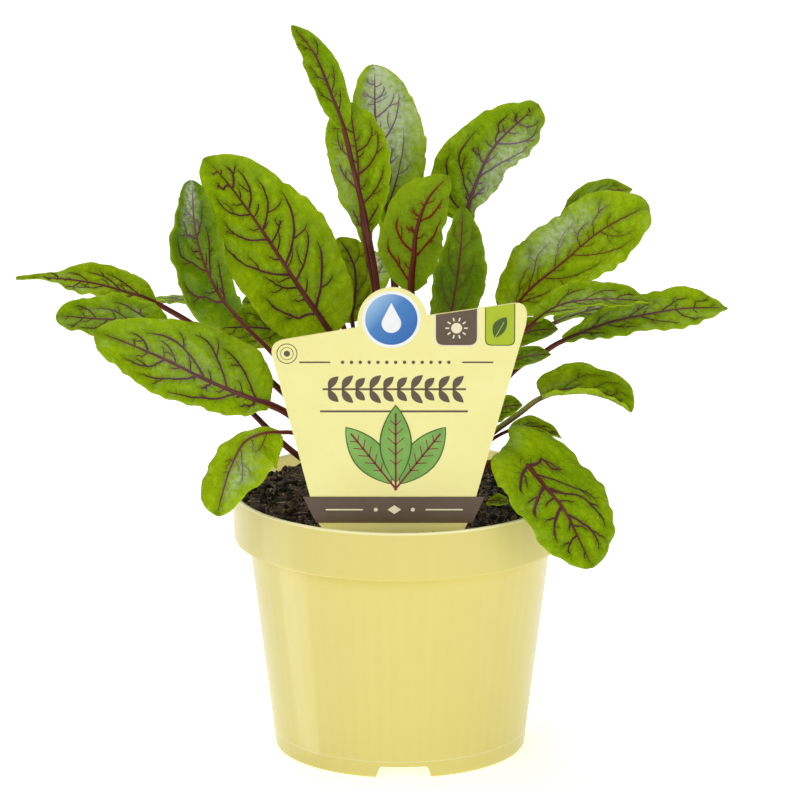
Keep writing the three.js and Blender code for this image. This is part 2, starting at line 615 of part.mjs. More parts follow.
const plant = new THREE.Group();
const forms = leaves.map((leaf) => new LeafForm(leaf));
plant.add(toMesh('pot', buildPot(), potMaterial));
plant.add(toMesh('label', toSolid(labelGeometry(labelThickness, 0)), labelMaterial));
plant.add(toMesh('soil', buildSoil(), soilMaterial));
const stalks = forms.map(buildStalk).reduce((joined, stalk) => joined.add(stalk), buildCrown());
plant.add(toMesh('stalks', stalks, stalkMaterial));
for (const form of forms) {
  plant.add(toMesh(form.leaf.name, buildBlade(form), bladeMaterial()));
}

export default plant;
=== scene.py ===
# A potted sorrel with red veins: pot, soil, plant label and a rosette of stalked leaves.
# Shapes are worked out in millimetres and put into the meshes in metres, in the frame's own place.
import math

import bpy
import numpy as np
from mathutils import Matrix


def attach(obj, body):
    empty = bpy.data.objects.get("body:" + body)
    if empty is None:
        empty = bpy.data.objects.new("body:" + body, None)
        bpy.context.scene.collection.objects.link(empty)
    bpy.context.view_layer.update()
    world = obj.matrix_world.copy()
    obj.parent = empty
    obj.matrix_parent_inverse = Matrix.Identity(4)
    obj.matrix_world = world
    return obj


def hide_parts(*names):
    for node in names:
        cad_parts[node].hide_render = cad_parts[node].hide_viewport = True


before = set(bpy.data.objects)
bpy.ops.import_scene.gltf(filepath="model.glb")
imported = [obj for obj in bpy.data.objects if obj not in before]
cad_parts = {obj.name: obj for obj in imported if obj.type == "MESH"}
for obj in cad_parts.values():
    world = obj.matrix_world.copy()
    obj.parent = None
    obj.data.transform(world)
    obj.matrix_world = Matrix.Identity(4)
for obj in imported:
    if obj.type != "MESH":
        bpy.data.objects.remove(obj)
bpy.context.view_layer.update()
scene = bpy.context.scene
millimetre = 0.001
print("frame loaded,", len(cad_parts), "nodes")


def smoothStep(low, high, x):
    # 3t^2 - 2t^3, with t running from 0 at low to 1 at high
    t = np.clip((x - low) / (high - low), 0, 1)
    return t * t * (3 - 2 * t)


def unit(vectors):
    # each vector divided by its length
    return vectors / np.maximum(np.linalg.norm(vectors, axis=-1, keepdims=True), 1e-9)


def evenAngles(count):
    # that many even steps round a circle
    return np.linspace(0, 2 * np.pi, count, endpoint=False)


def towards(angle):
    # the point (cos a, sin a) for an angle, or for each of many
    return np.stack([np.cos(angle), np.sin(angle)], -1)


def spinBy(angle):
    # the matrix that turns a plane's points by an angle
    return np.column_stack([towards(angle), towards(angle + math.pi / 2)])


def vectors(x, y, z):
    # points from three coordinates, each of them an array or one number
    return np.stack(np.broadcast_arrays(x, y, z), -1)


noiseTable = np.random.default_rng(11).random(4096)


def lumpNoise(points, size):
    # random values on a cubic lattice of the given size, blended between its corners by
    # 3t^2 - 2t^3 along each axis; the result runs from -1 to 1
    place = np.asarray(points, float) / size
    cell = np.floor(place).astype(np.int64)
    part = place - cell
    part = part * part * (3 - 2 * part)
    total = 0
    for corner in np.ndindex(2, 2, 2):
        at = cell + corner
        code = (at[..., 0] * 73856093 ^ at[..., 1] * 19349663 ^ at[..., 2] * 83492791) & 4095
        weight = np.prod(np.where(np.array(corner, bool), part, 1 - part), axis=-1)
        total = total + weight * noiseTable[code]
    return 2 * total - 1


def gridFaces(rows, cols, wrap=False):
    # the quads of a grid of points numbered row by row; with wrap the last column meets the first
    row, col = np.meshgrid(np.arange(rows - 1), np.arange(cols if wrap else cols - 1), indexing="ij")
    here = row * cols + col
    beside = row * cols + (col + 1) % cols
    return np.stack([here, beside, beside + cols, here + cols], -1).reshape(-1, 4)


def tubeFaces(rings, sides):
    # the quads of a tube and a fan over each end; the two fans' middle points follow the rings
    here = np.arange(sides)
    beside = (here + 1) % sides
    last = (rings - 1) * sides
    middle = np.full(sides, rings * sides)
    return np.vstack([
        gridFaces(rings, sides, wrap=True), np.stack([beside, here, middle, middle], -1),
        np.stack([last + here, last + beside, middle + 1, middle + 1], -1)])


def joinParts(parts):
    # several (points, faces) pairs as one, with each pair's point numbers moved past the earlier ones
    starts = np.cumsum([0] + [len(part[0]) for part in parts])
    faces = [part[1] + start for part, start in zip(parts, starts)]
    return np.concatenate([part[0] for part in parts]), np.concatenate(faces)


def addPiece(name, points, faces, materials, slot, replaces=(),
             faceMaterial=None, tags=None, flat=None, smooth=True):
    # A mesh piece from points in millimetres and rows of four point numbers. A row in which a
    # number follows itself is a triangle. tags are values at the points, flat is a UV map.
    faces = np.asarray(faces)
    fresh = faces != np.roll(faces, -1, axis=1)
    used, corners = np.unique(faces[fresh], return_inverse=True)
    counts = fresh.sum(axis=1)
    mesh = bpy.data.meshes.new(name)
    mesh.vertices.add(len(used))
    mesh.vertices.foreach_set("co", (points[used] * millimetre).astype(np.float32).ravel())
    mesh.loops.add(len(corners))
    mesh.loops.foreach_set("vertex_index", corners.astype(np.int32))
    mesh.polygons.add(len(faces))
    mesh.polygons.foreach_set("loop_start", (np.cumsum(counts) - counts).astype(np.int32))
    mesh.polygons.foreach_set("use_smooth", np.full(len(faces), smooth))
    if faceMaterial is not None:
        mesh.polygons.foreach_set("material_index", np.asarray(faceMaterial, np.int32))
    for tag, values in (tags or {}).items():
        attribute = mesh.attributes.new(tag, "FLOAT", "POINT")
        attribute.data.foreach_set("value", np.asarray(values)[used].astype(np.float32))
    if flat is not None:
        layer = mesh.uv_layers.new(name="flat")
        layer.data.foreach_set("uv", flat[used][corners].astype(np.float32).ravel())
    mesh.update(calc_edges=True)
    for material in materials:
        mesh.materials.append(material)
    piece = bpy.data.objects.new(name, mesh)
    scene.collection.objects.link(piece)
    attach(piece, "root")
    if replaces:
        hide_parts(*replaces)
    return piece


cameraPlace = {
    "distance": 2.5,       # metres from the point it looks at
    "aimHeight": 0.127,
    "elevation": 15,       # degrees above the horizon
    "lens": 316,
    "sensor": 36,
}


def addCamera():
    data = bpy.data.cameras.new("camera")
    data.lens = cameraPlace["lens"]
    data.sensor_width = cameraPlace["sensor"]
    data.clip_start = 0.1
    data.clip_end = 50
    camera = bpy.data.objects.new("camera", data)
    scene.collection.objects.link(camera)
    angle = math.radians(cameraPlace["elevation"])
    reach = cameraPlace["distance"]
    camera.location = (0, -reach * math.cos(angle), cameraPlace["aimHeight"] + reach * math.sin(angle))
    camera.rotation_euler = (math.pi / 2 - angle, 0, 0)
    scene.camera = camera


addCamera()
print("camera set")


def displayColour(colour):
    # a colour as seen on a display, 0 to 255, turned into the linear values that shaders take
    share = np.array(colour) / 255
    linear = np.where(share <= 0.04045, share / 12.92, ((share + 0.055) / 1.055) ** 2.4)
    return (*linear.tolist(), 1.0)


def setInputs(tree, node, values):
    # each input is linked where the value is a socket, and otherwise given the value
    for key, value in values.items():
        if isinstance(value, bpy.types.NodeSocket):
            tree.links.new(value, node.inputs[key])
        else:
            node.inputs[key].default_value = value


def addNode(tree, kind, inputs, **settings):
    node = tree.nodes.new(kind)
    for key, value in settings.items():
        setattr(node, key, value)
    setInputs(tree, node, inputs)
    return node


def mixColour(tree, factor, first, second):
    # from the first colour to the second; each is a socket or a display colour
    first, second = (colour if isinstance(colour, bpy.types.NodeSocket) else displayColour(colour)
                     for colour in (first, second))
    return addNode(tree, "ShaderNodeMix", {0: factor, 6: first, 7: second}, data_type="RGBA").outputs[2]


def rampColour(tree, factor, stops):
    # a colour ramp through (position, display colour) stops
    node = addNode(tree, "ShaderNodeValToRGB", {"Fac": factor})
    ramp = node.color_ramp
    while len(ramp.elements) < len(stops):
        ramp.elements.new(0.5)
    for element, (position, colour) in zip(ramp.elements, stops):
        element.position = position
        element.color = displayColour(colour)
    return node.outputs["Color"]


def mapRange(tree, value, low, high, toLow=0.0, toHigh=1.0):
    return addNode(tree, "ShaderNodeMapRange", {
        "Value": value, "From Min": low, "From Max": high, "To Min": toLow, "To Max": toHigh,
    }).outputs["Result"]


def calculate(tree, operation, *values):
    # a maths node over one to three values
    return addNode(tree, "ShaderNodeMath", dict(enumerate(values)), operation=operation).outputs[0]


def band(tree, value, rise, fall):
    # 1 between two heights, with a ramp at each end
    return calculate(tree, "MULTIPLY", mapRange(tree, value, *rise), mapRange(tree, value, *fall, 1, 0))


def readTag(tree, tag):
    return addNode(tree, "ShaderNodeAttribute", {}, attribute_name=tag).outputs["Fac"]


def tint(tree, body, *layers):
    # Lays colours over the body in turn. A layer is a mask or a tag's name, then the mask's range
    # with the two shares of the colour that it stands for, and the colour.
    for mask, ends, colour in layers:
        mask = readTag(tree, mask) if isinstance(mask, str) else mask
        body = mixColour(tree, mapRange(tree, mask, *ends), body, colour)
    return body


def bumpNormal(tree, height, distance, strength):
    bump = addNode(tree, "ShaderNodeBump", {"Height": height, "Distance": distance, "Strength": strength})
    return bump.outputs["Normal"]


def newMaterial(name, **constants):
    # a material with one Principled shader, whose plain values are set on its own sockets
    material = bpy.data.materials.new(name)
    material.use_nodes = True
    tree = material.node_tree
    shader = tree.nodes["Principled BSDF"]
    setInputs(tree, shader, constants)
    return material, tree, shader


def objectPlace(tree):
    return addNode(tree, "ShaderNodeTexCoord", {}).outputs["Object"]


def newGroup(name, inputs, outputs):
    # an empty shader node group with inputs {name: value}, where None is a vector, and float outputs
    group = bpy.data.node_groups.new(name, "ShaderNodeTree")
    for key, value in inputs.items():
        kind = "NodeSocketVector" if value is None else "NodeSocketFloat"
        socket = group.interface.new_socket(key, in_out="INPUT", socket_type=kind)
        if value is not None:
            socket.default_value = value
    for key in outputs:
        group.interface.new_socket(key, in_out="OUTPUT", socket_type="NodeSocketFloat")
    return group, group.nodes.new("NodeGroupInput").outputs, group.nodes.new("NodeGroupOutput").inputs


def buildPatches():
    # soft patches: a noise whose values are pushed apart by the contrast
    group, given, result = newGroup(
        "patches", {"Place": None, "Scale": 100.0, "Contrast": 0.2}, ["Mask"])
    noise = addNode(group, "ShaderNodeTexNoise", {
        "Vector": given["Place"], "Scale": given["Scale"], "Detail": 3.0, "Roughness": 0.55})
    low = calculate(group, "SUBTRACT", 0.5, given["Contrast"])
    high = calculate(group, "ADD", 0.5, given["Contrast"])
    spread = addNode(
        group, "ShaderNodeMapRange", {"Value": noise.outputs["Fac"], "From Min": low, "From Max": high},
        interpolation_type="SMOOTHSTEP")
    group.links.new(spread.outputs["Result"], result["Mask"])
    return group


def buildGrain():
    # fine grain: a dense noise as a height, and specks where its peaks pass the threshold
    group, given, result = newGroup(
        "grain", {"Place": None, "Scale": 1500.0, "Threshold": 0.65}, ["Height", "Specks"])
    fine = addNode(group, "ShaderNodeTexNoise", {
        "Vector": given["Place"], "Scale": given["Scale"], "Detail": 2.0, "Roughness": 0.6})
    over = calculate(group, "ADD", given["Threshold"], 0.06)
    group.links.new(fine.outputs["Fac"], result["Height"])
    group.links.new(mapRange(group, fine.outputs["Fac"], given["Threshold"], over), result["Specks"])
    return group


patches = buildPatches()
grain = buildGrain()


def softPatches(tree, place, scale, contrast):
    values = {"Place": place, "Scale": scale, "Contrast": contrast}
    return addNode(tree, "ShaderNodeGroup", values, node_tree=patches).outputs["Mask"]


def fineGrain(tree, place, scale, threshold):
    values = {"Place": place, "Scale": scale, "Threshold": threshold}
    return addNode(tree, "ShaderNodeGroup", values, node_tree=grain).outputs


potShape = {
    "height": 95,
    "rimRadius": 60,
    "rimLowRadius": 59.3,
    "rimLowHeight": 76.9,
    "neckRadius": 54.1,
    "baseRadius": 44.7,
    "wall": 1.3,
    "lipHeight": 1.7,        # the rim's outer side ends this far below the top
    "lineHeight": 6.2,       # shallow step round the wall above the foot
    "lineDepth": 0.06,
    "ribs": 63,              # faint flutes round the wall
    "floorHeight": 5,
    "floorThickness": 1.4,
    "floorRadius": 41.1,
    "centreFootRadius": 12,
    "sides": 216,
    "notchCount": 3,
    "notchHeight": 4.4,
    "notchTopWidth": 17,
    "notchBottomWidth": 20.5,
    "notchTurn": 0.03,       # angle by which the notches are turned from the front
    "holeCount": 6,
    "holeRadius": 4,
    "holeCircle": 26,
    "colour": (228, 215, 125),
    # the lip's paler colour is a painted highlight
    "lipHighlightColour": (255, 249, 196),
    "paintedGlowColour": (246, 234, 150),     # painted light on the inner wall above the soil, in place of light through the wall
    "glow": 0.5,
}


def quadraticCurve(start, control, end, count):
    # (1 - t)^2 start + 2 t (1 - t) control + t^2 end, for one curve or for each of many
    t = np.linspace(0, 1, count)[:, None]
    start, control, end = (np.asarray(point, float)[..., None, :] for point in (start, control, end))
    return (1 - t) ** 2 * start + 2 * t * (1 - t) * control + t ** 2 * end


def roundedProfile(corners, steps=5):
    # a closed outline through (x, y, reach) corners; each corner becomes a quadratic curve that
    # leaves the first side and meets the second one at the reach, or at half of a short side
    corners = np.array(corners, float)
    points = corners[:, :2]
    before = np.roll(points, 1, axis=0) - points
    after = np.roll(points, -1, axis=0) - points
    longest = np.minimum(np.linalg.norm(before, axis=1), np.linalg.norm(after, axis=1)) * 0.48
    reach = np.minimum(corners[:, 2], longest)[:, None]
    curves = quadraticCurve(points + unit(before) * reach, points, points + unit(after) * reach, steps)
    return curves.reshape(-1, 2)


def turnProfile(profile, sides):
    # each (radius, height) of a closed profile at every angle: (r cos a, r sin a, h); points on
    # the axis are drawn together into one
    profile = np.vstack([profile, profile[:1]])
    angle = evenAngles(sides)
    radius, height = profile[:, :1], profile[:, 1:]
    points = vectors(radius * np.cos(angle), radius * np.sin(angle), height)
    faces = gridFaces(len(profile), sides, wrap=True)
    row, col = faces // sides, faces % sides
    row = np.where(row == len(profile) - 1, 0, row)
    col = np.where(profile[row, 0] < 1e-6, 0, col)
    faces = row * sides + col
    kept = (faces != np.roll(faces, -1, axis=1)).sum(axis=1) > 2
    return points.reshape(-1, 3), faces[kept]


def prism(outline, low, high):
    # a closed outline of (x, y) carried from low to high along z, with a fan at each end
    middle = outline.mean(axis=0)
    x, y = outline.T
    points = np.vstack([vectors(x, y, low), vectors(x, y, high), (*middle, low), (*middle, high)])
    return points, tubeFaces(2, len(outline))


def wallRadius(z):
    # the outer wall's radius, straight from the base to the neck
    return np.interp(z, [0, potShape["rimLowHeight"]], [potShape["baseRadius"], potShape["neckRadius"]])


def potCutters():
    # notches through the foot ring and round holes through the floor
    shape = potShape
    parts = []
    top, bottom, rise = shape["notchTopWidth"] / 2, shape["notchBottomWidth"] / 2, shape["notchHeight"]
    outline = roundedProfile([(-bottom, -1, 0), (bottom, -1, 0), (top, rise, 1.2), (-top, rise, 1.2)])
    for angle in evenAngles(shape["notchCount"]) + shape["notchTurn"] - math.pi / 2:
        points, faces = prism(outline, shape["baseRadius"] - 8, shape["baseRadius"] + 4)
        points = points[:, [2, 0, 1]]        # the prism runs outwards along x
        points[:, :2] = points[:, :2] @ spinBy(angle).T
        parts.append((points, faces))
    circle = towards(evenAngles(40)) * shape["holeRadius"]
    for angle in evenAngles(shape["holeCount"]) + math.pi / shape["holeCount"]:
        centre = shape["holeCircle"] * towards(angle)
        parts.append(prism(circle + centre, shape["floorHeight"] - 2, shape["floorHeight"] + 4))
    return joinParts(parts)


def makePotMaterial():
    # satin yellow with faint flutes, whose bumps also carry painted shade, and streaks; the lip is paler
    # as a painted highlight and the step above the foot is paler; the wall has painted shade right under
    # the rim, and its inner side above the soil glows with painted light in place of light through the
    # thin wall
    material, tree, shader = newMaterial("satinPotPlastic", **{
        "Specular IOR Level": 0.3, "Coat Weight": 0.27, "Coat Roughness": 0.08,
        "Emission Strength": potShape["glow"]})
    rimFoot, line, top, rim = (potShape[key] * millimetre
                               for key in ("rimLowHeight", "lineHeight", "height", "rimRadius"))
    place = objectPlace(tree)
    height = addNode(tree, "ShaderNodeSeparateXYZ", {"Vector": place}).outputs["Z"]
    level = addNode(tree, "ShaderNodeMapping", {"Vector": place, "Scale": (1, 1, 0)})
    radius = addNode(tree, "ShaderNodeVectorMath", {0: level.outputs[0]}, operation="LENGTH")
    soft = softPatches(tree, place, 22, 0.25)
    fine = fineGrain(tree, place, 2600, 0.66)
    upright = addNode(tree, "ShaderNodeMapping", {"Vector": place, "Scale": (1, 1, 0.02)})
    streak = softPatches(tree, upright.outputs[0], 240, 0.3)
    turn = addNode(tree, "ShaderNodeTexGradient", {"Vector": place}, gradient_type="RADIAL")
    turn = calculate(tree, "MULTIPLY", turn.outputs["Fac"], 2 * math.pi * potShape["ribs"])
    onWall = mapRange(tree, height, rimFoot - 0.0024, rimFoot - 0.0004, 1, 0)
    flute = calculate(tree, "MULTIPLY", calculate(tree, "SINE", turn), onWall)
    # painted shade: the wall darker and deeper in colour right under the rim
    underRimShade = band(
        tree, height, (rimFoot - 0.0054, rimFoot - 0.0004), (rimFoot + 0.0002, rimFoot + 0.0009))
    footStep = band(tree, height, (line - 0.0003, line), (line + 0.0001, line + 0.0005))
    body = tint(
        tree, mixColour(tree, soft, potShape["colour"], (226, 213, 121)),
        (streak, (0, 1, 0, 0.3), (219, 207, 122)),
        (fine["Specks"], (0, 1, 0, 0.05), (214, 198, 110)),
        # painted shade: each flute darker along one side
        (flute, (-1, 1, 0, 0.16), (220, 206, 112)),
        (underRimShade, (0, 1, 0, 0.42), (212, 194, 84)),
        # painted highlight: the top of the lip paler
        (height, (top - 0.0012, top - 0.0006, 0, 0.85), potShape["lipHighlightColour"]),
        (footStep, (0, 1, 0, 0.4), (252, 246, 190)))
    # painted light: the inner wall above the soil glows, in place of light through the thin wall
    inner = mapRange(tree, radius.outputs["Value"], rim - 0.0014, rim - 0.001, 1, 0)
    aboveSoil = mapRange(tree, height, rimFoot + 0.0021, rimFoot + 0.0061)
    paintedGlowMask = calculate(tree, "MULTIPLY", inner, aboveSoil)
    grainAndFlutes = calculate(tree, "MULTIPLY_ADD", flute, 0.5, fine["Height"])
    setInputs(tree, shader, {
        "Base Color": body,
        "Emission Color": mixColour(tree, paintedGlowMask, (0, 0, 0), potShape["paintedGlowColour"]),
        "Roughness": mapRange(tree, soft, 0, 1, 0.28, 0.33),
        "Normal": bumpNormal(tree, grainAndFlutes, 0.00002, 0.35)})
    return material


def buildPot():
    shape = potShape
    floorTop = shape["floorHeight"] + shape["floorThickness"]
    line, lineDepth = shape["lineHeight"], shape["lineDepth"]
    rim, low, neck, wall = shape["rimRadius"], shape["rimLowRadius"], shape["neckRadius"], shape["wall"]
    rimFoot, height, foot = shape["rimLowHeight"], shape["height"], shape["centreFootRadius"]
    profile = roundedProfile([
        (42.1, 0, 0.7),
        (shape["baseRadius"], 0, 1.2),
        (wallRadius(1.9), 1.9, 0.2),
        (wallRadius(line - 0.5), line - 0.5, 0.1),
        (wallRadius(line), line, 0.12),
        (wallRadius(line) - lineDepth, line + 0.25, 0.12),
        (wallRadius(line + 1) - lineDepth, line + 1, 0.1),
        (wallRadius(rimFoot - 2.4), rimFoot - 2.4, 0.2),
        (neck, rimFoot, 1.0),
        (low, rimFoot, 1.0),
        (low + 0.08, rimFoot + 1.6, 0.2),
        (rim - 0.06, height - shape["lipHeight"], 0.2),
        (rim, height, 0.8),
        (rim - wall, height - 0.2, 0.5),
        (low - wall - 0.2, rimFoot + 2.0, 1.0),
        (neck - wall, rimFoot + 1.2, 1.5),
        (wallRadius(floorTop) - wall - 0.2, floorTop + 1.6, 1.5),
        (shape["floorRadius"], floorTop, 0.8),
        (foot, floorTop, 0.6),
        (foot - 1, shape["floorThickness"], 0.5),
        (0, shape["floorThickness"], 0),
        (0, 0, 0),
        (foot, 0, 0.6),
        (foot + 1.4, shape["floorHeight"], 0.6),
        (shape["floorRadius"], shape["floorHeight"], 0.6),
    ])
    points, faces = turnProfile(profile, shape["sides"])
    pot = addPiece("pot_body", points, faces, [makePotMaterial()], "pot_plastic", ["pot"])
    cutter = addPiece("pot_cutter", *potCutters(), [], "pot_plastic")
    cut = pot.modifiers.new("cut", "BOOLEAN")
    cut.operation = "DIFFERENCE"
    cut.object = cutter
    cut.solver = "EXACT"
    bpy.context.view_layer.update()
    finished = bpy.data.meshes.new_from_object(pot.evaluated_get(bpy.context.evaluated_depsgraph_get()))
    pot.modifiers.clear()
    pot.data = finished
    bpy.data.objects.remove(cutter)
    finished.polygons.foreach_set("use_smooth", np.full(len(finished.polygons), True))
    finished.set_sharp_from_angle(angle=math.radians(32))


buildPot()
print("pot built")


soilShape = {
    "top": 91,
    "lump": 1.1,             # height of the long waves
    "roughness": 0.9,        # height of the small clods
    "innerRadius": 12.6,
    "outerRadius": 57.6,
    "sides": 300,
    "rings": 62,
    "gap": 0.3,              # between the soil and the pot
    "dampColour": (36, 32, 31),
    "dryColour": (104, 90, 76),
}
# the short stem in the soil that carries the stalks, as (radius, height)
crownProfile = [(0, 70), (3, 71), (9.6, 83), (11.6, 88), (12, 90), (11.4, 92), (10.2, 93.6), (7.5, 95),
                (4, 95.5), (0, 95.6)]
crumbShape = {
    # of each kind: how many, smallest and largest size, darkest and palest tone, and the power that
    # gathers the tones near the dark end
    "crumbs": (3600, 0.22, 0.7, 0, 0.95, 1.1),
    "lumps": (420, 0.8, 1.9, 0, 0.6, 1),
    "specks": (130, 0.25, 0.5, 0.93, 1.0, 1),
    "heaped": (34 * 18, 0.5, 1.3, 0, 0.8, 1.5),
    "heaps": 34,
    "heapArea": (38, 53),    # radii between which the heaps stand
    "heapSpread": (1.3, 1.3, 0.8),
    "area": (13.5, 55.6),    # radii between which crumbs lie
    "tones": [(0.0, (26, 24, 25)), (0.35, (62, 54, 50)), (0.58, (126, 106, 86)),
              (0.8, (176, 152, 122)), (0.92, (200, 184, 160)), (1.0, (234, 228, 214))],
}


def soilHeight(x, y):
    # three crossed waves, a dip round the crown and a lower strip before the label, then clods from
    # noise in three sizes
    dip = 1.4 * np.exp(-(x * x + y * y) / 300)
    long = np.sin(0.13 * x + 0.7) * np.cos(0.11 * y - 0.4)
    middle = np.sin(0.29 * x - 0.21 * y + 1.9)
    short = np.sin(0.47 * x + 1.1) * np.sin(0.53 * y + 0.3)
    spot = vectors(x, y, 0)
    front = smoothStep(-44, -50, y) * smoothStep(32, 25, np.abs(x))
    clods = 0.55 * lumpNoise(spot, 5) + 0.35 * lumpNoise(spot + 40, 2.2)
    clods = clods + 0.25 * lumpNoise(spot + 90, 1.1)
    waves = soilShape["lump"] * (0.6 * long + 0.4 * middle + 0.5 * short)
    return soilShape["top"] - dip + waves + soilShape["roughness"] * clods - 1.2 * front


def makeSoilMaterial():
    # damp and dry patches with pale grains
    material, tree, shader = newMaterial("peatSoil", **{"Specular IOR Level": 0.25})
    place = objectPlace(tree)
    damp = softPatches(tree, place, 160, 0.22)
    fine = fineGrain(tree, place, 1300, 0.62)
    body = mixColour(tree, damp, soilShape["dampColour"], soilShape["dryColour"])
    setInputs(tree, shader, {
        "Base Color": tint(tree, body, (fine["Specks"], (0, 1, 0, 0.75), (160, 134, 100))),
        "Roughness": mapRange(tree, damp, 0, 1, 0.75, 0.95),
        "Normal": bumpNormal(tree, fine["Height"], 0.0006, 0.8)})
    return material


def makeCrumbMaterial():
    # each crumb has its own tone: peat brown, bark brown or a pale speck
    material, tree, shader = newMaterial("soilCrumbs", **{"Specular IOR Level": 0.3, "Roughness": 0.85})
    fine = fineGrain(tree, objectPlace(tree), 1600, 0.6)
    body = rampColour(tree, readTag(tree, "tone"), crumbShape["tones"])
    setInputs(tree, shader, {
        "Base Color": tint(tree, body, (fine["Height"], (0.3, 0.65, 0.6, 0), (20, 16, 12))),
        "Normal": bumpNormal(tree, fine["Height"], 0.0003, 0.7)})
    return material


def icosahedron():
    # the twelve corners (0, 1, golden ratio) in every order and sign, and the twenty faces
    golden = (1 + math.sqrt(5)) / 2
    corners = unit(np.array([
        (-1, golden, 0), (1, golden, 0), (-1, -golden, 0), (1, -golden, 0), (0, -1, golden),
        (0, 1, golden), (0, -1, -golden), (0, 1, -golden), (golden, 0, -1), (golden, 0, 1),
        (-golden, 0, -1), (-golden, 0, 1)], float))
    faces = np.array([
        (0, 11, 5), (0, 5, 1), (0, 1, 7), (0, 7, 10), (0, 10, 11), (1, 5, 9), (5, 11, 4),
        (11, 10, 2), (10, 7, 6), (7, 1, 8), (3, 9, 4), (3, 4, 2), (3, 2, 6), (3, 6, 8), (3, 8, 9),
        (4, 9, 5), (2, 4, 11), (6, 2, 10), (8, 6, 7), (9, 8, 1)])
    return corners, np.column_stack([faces, faces[:, 2]])


def repeatFaces(faces, count, size):
    # the same faces for each of many shapes whose points follow one another
    return (faces[None] + size * np.arange(count)[:, None, None]).reshape(-1, 4)


def randomTurns(random, count):
    # one random rotation matrix for each crumb, from a random unit quaternion
    w, x, y, z = unit(random.normal(size=(count, 4))).T
    return np.stack([
        vectors(1 - 2 * (y * y + z * z), 2 * (x * y - z * w), 2 * (x * z + y * w)),
        vectors(2 * (x * y + z * w), 1 - 2 * (x * x + z * z), 2 * (y * z - x * w)),
        vectors(2 * (x * z - y * w), 2 * (y * z + x * w), 1 - 2 * (x * x + y * y))], -2)


def scatterOnSoil(random, count, inner, outer):
    # even spread over the ring between two radii: radius from the square root of a random area
    radius = np.sqrt(random.uniform(inner ** 2, outer ** 2, count))
    angle = random.uniform(0, 2 * np.pi, count)
    x, y = radius * np.cos(angle), radius * np.sin(angle)
    return vectors(x, y, soilHeight(x, y))


def buildSoil():
    # a ring of soil that fills the pot, with its top raised and lowered by soilHeight
    shape, pot = soilShape, potShape
    gap, wall = shape["gap"], pot["wall"]
    floorTop = pot["floorHeight"] + pot["floorThickness"] + gap
    rings = np.linspace(shape["innerRadius"], shape["outerRadius"], shape["rings"])
    top = np.column_stack([rings, 0 * rings])
    below = np.array([
        (pot["rimLowRadius"] - wall - gap - 0.6, pot["rimLowHeight"] + 3),
        (pot["neckRadius"] - wall - gap - 0.2, pot["rimLowHeight"] + 1.8),
        (wallRadius(floorTop) - wall - gap - 1, floorTop + 2.1),
        (pot["floorRadius"] - 1.4, floorTop),
        (pot["centreFootRadius"] - gap - 0.1, floorTop),
        (pot["centreFootRadius"] - gap - 1, pot["floorThickness"] + gap),
        (0, pot["floorThickness"] + gap),
        *[(radius + gap * (radius > 0), height - gap) for radius, height in crownProfile[:3]]])
    points, faces = turnProfile(np.vstack([top, below]), shape["sides"])
    x, y = points[:shape["rings"] * shape["sides"], :2].T
    points[:len(x), 2] = soilHeight(x, y)
    addPiece("soil_bed", points, faces, [makeSoilMaterial()], "soil", ["soil"])


def buildCrumbs(material):
    # icosahedra stretched, pushed about by noise and half sunk into the soil
    random = np.random.default_rng(5)
    kinds = [crumbShape[kind] for kind in ("crumbs", "lumps", "specks", "heaped")]
    counts, small, large, dark, pale, power = zip(*kinds)
    total = sum(counts)
    size = np.concatenate([random.uniform(*ends) for ends in zip(small, large, counts)])
    tone = np.concatenate([random.uniform(*ends) for ends in zip(dark, pale, counts)])
    tone = tone ** np.repeat(power, counts)
    corners, faces = icosahedron()
    stretch = random.uniform(0.6, 1.25, (total, 1, 3))
    dents = 1 + 0.22 * random.normal(size=(total, 12, 1)).clip(-1.6, 1.6)
    bodies = np.einsum("nij,nkj->nki", randomTurns(random, total), corners * stretch * dents)
    inner, outer = crumbShape["area"]
    place = scatterOnSoil(random, total, inner, outer)
    heap = scatterOnSoil(random, crumbShape["heaps"], *crumbShape["heapArea"])
    heap = heap.repeat(counts[-1] // crumbShape["heaps"], axis=0)
    heap += random.normal(size=heap.shape).clip(-2, 2) * crumbShape["heapSpread"] + (0, 0, 0.8)
    heap[:, :2] *= np.minimum(1, outer / np.linalg.norm(heap[:, :2], axis=1))[:, None]
    place[-len(heap):] = heap
    inFront = (np.abs(place[:, 0]) < 27) & (place[:, 1] < -44)     # little soil lies before the label
    place[:, 2] += size * 0.25 - 2.6 * inFront
    points = (place[:, None] + bodies * size[:, None, None]).reshape(-1, 3)
    addPiece("soil_crumbs", points, repeatFaces(faces, total, 12), [material], "soil",
             tags={"tone": np.repeat(tone, 12)}, smooth=False)


def sweepTubes(centres, side, up, wide, high, sides):
    # Closed tubes, one for each row of centre points: the ring at a point is
    # centre + wide cos(a) side + high sin(a) up, and each end is closed by a fan.
    count, rings = centres.shape[:2]
    angle = evenAngles(sides)
    ring = (centres[:, :, None] + (wide[..., None] * np.cos(angle))[..., None] * side[:, :, None]
            + (high[..., None] * np.sin(angle))[..., None] * up[:, :, None])
    points = np.concatenate([ring.reshape(count, -1, 3), centres[:, :1], centres[:, -1:]], axis=1)
    return points.reshape(-1, 3), repeatFaces(tubeFaces(rings, sides), count, points.shape[1])


def tubeFrames(centres, up):
    # direction along each row of points, the side at a right angle to it, and up made square to both
    along = unit(np.gradient(centres, axis=1))
    side = unit(np.cross(up, along))
    return side, np.cross(along, side)


fibreShape = {
    "count": 420,
    "length": (1.5, 7.5),
    "radius": (0.07, 0.22),
    "area": (15, 53),
}


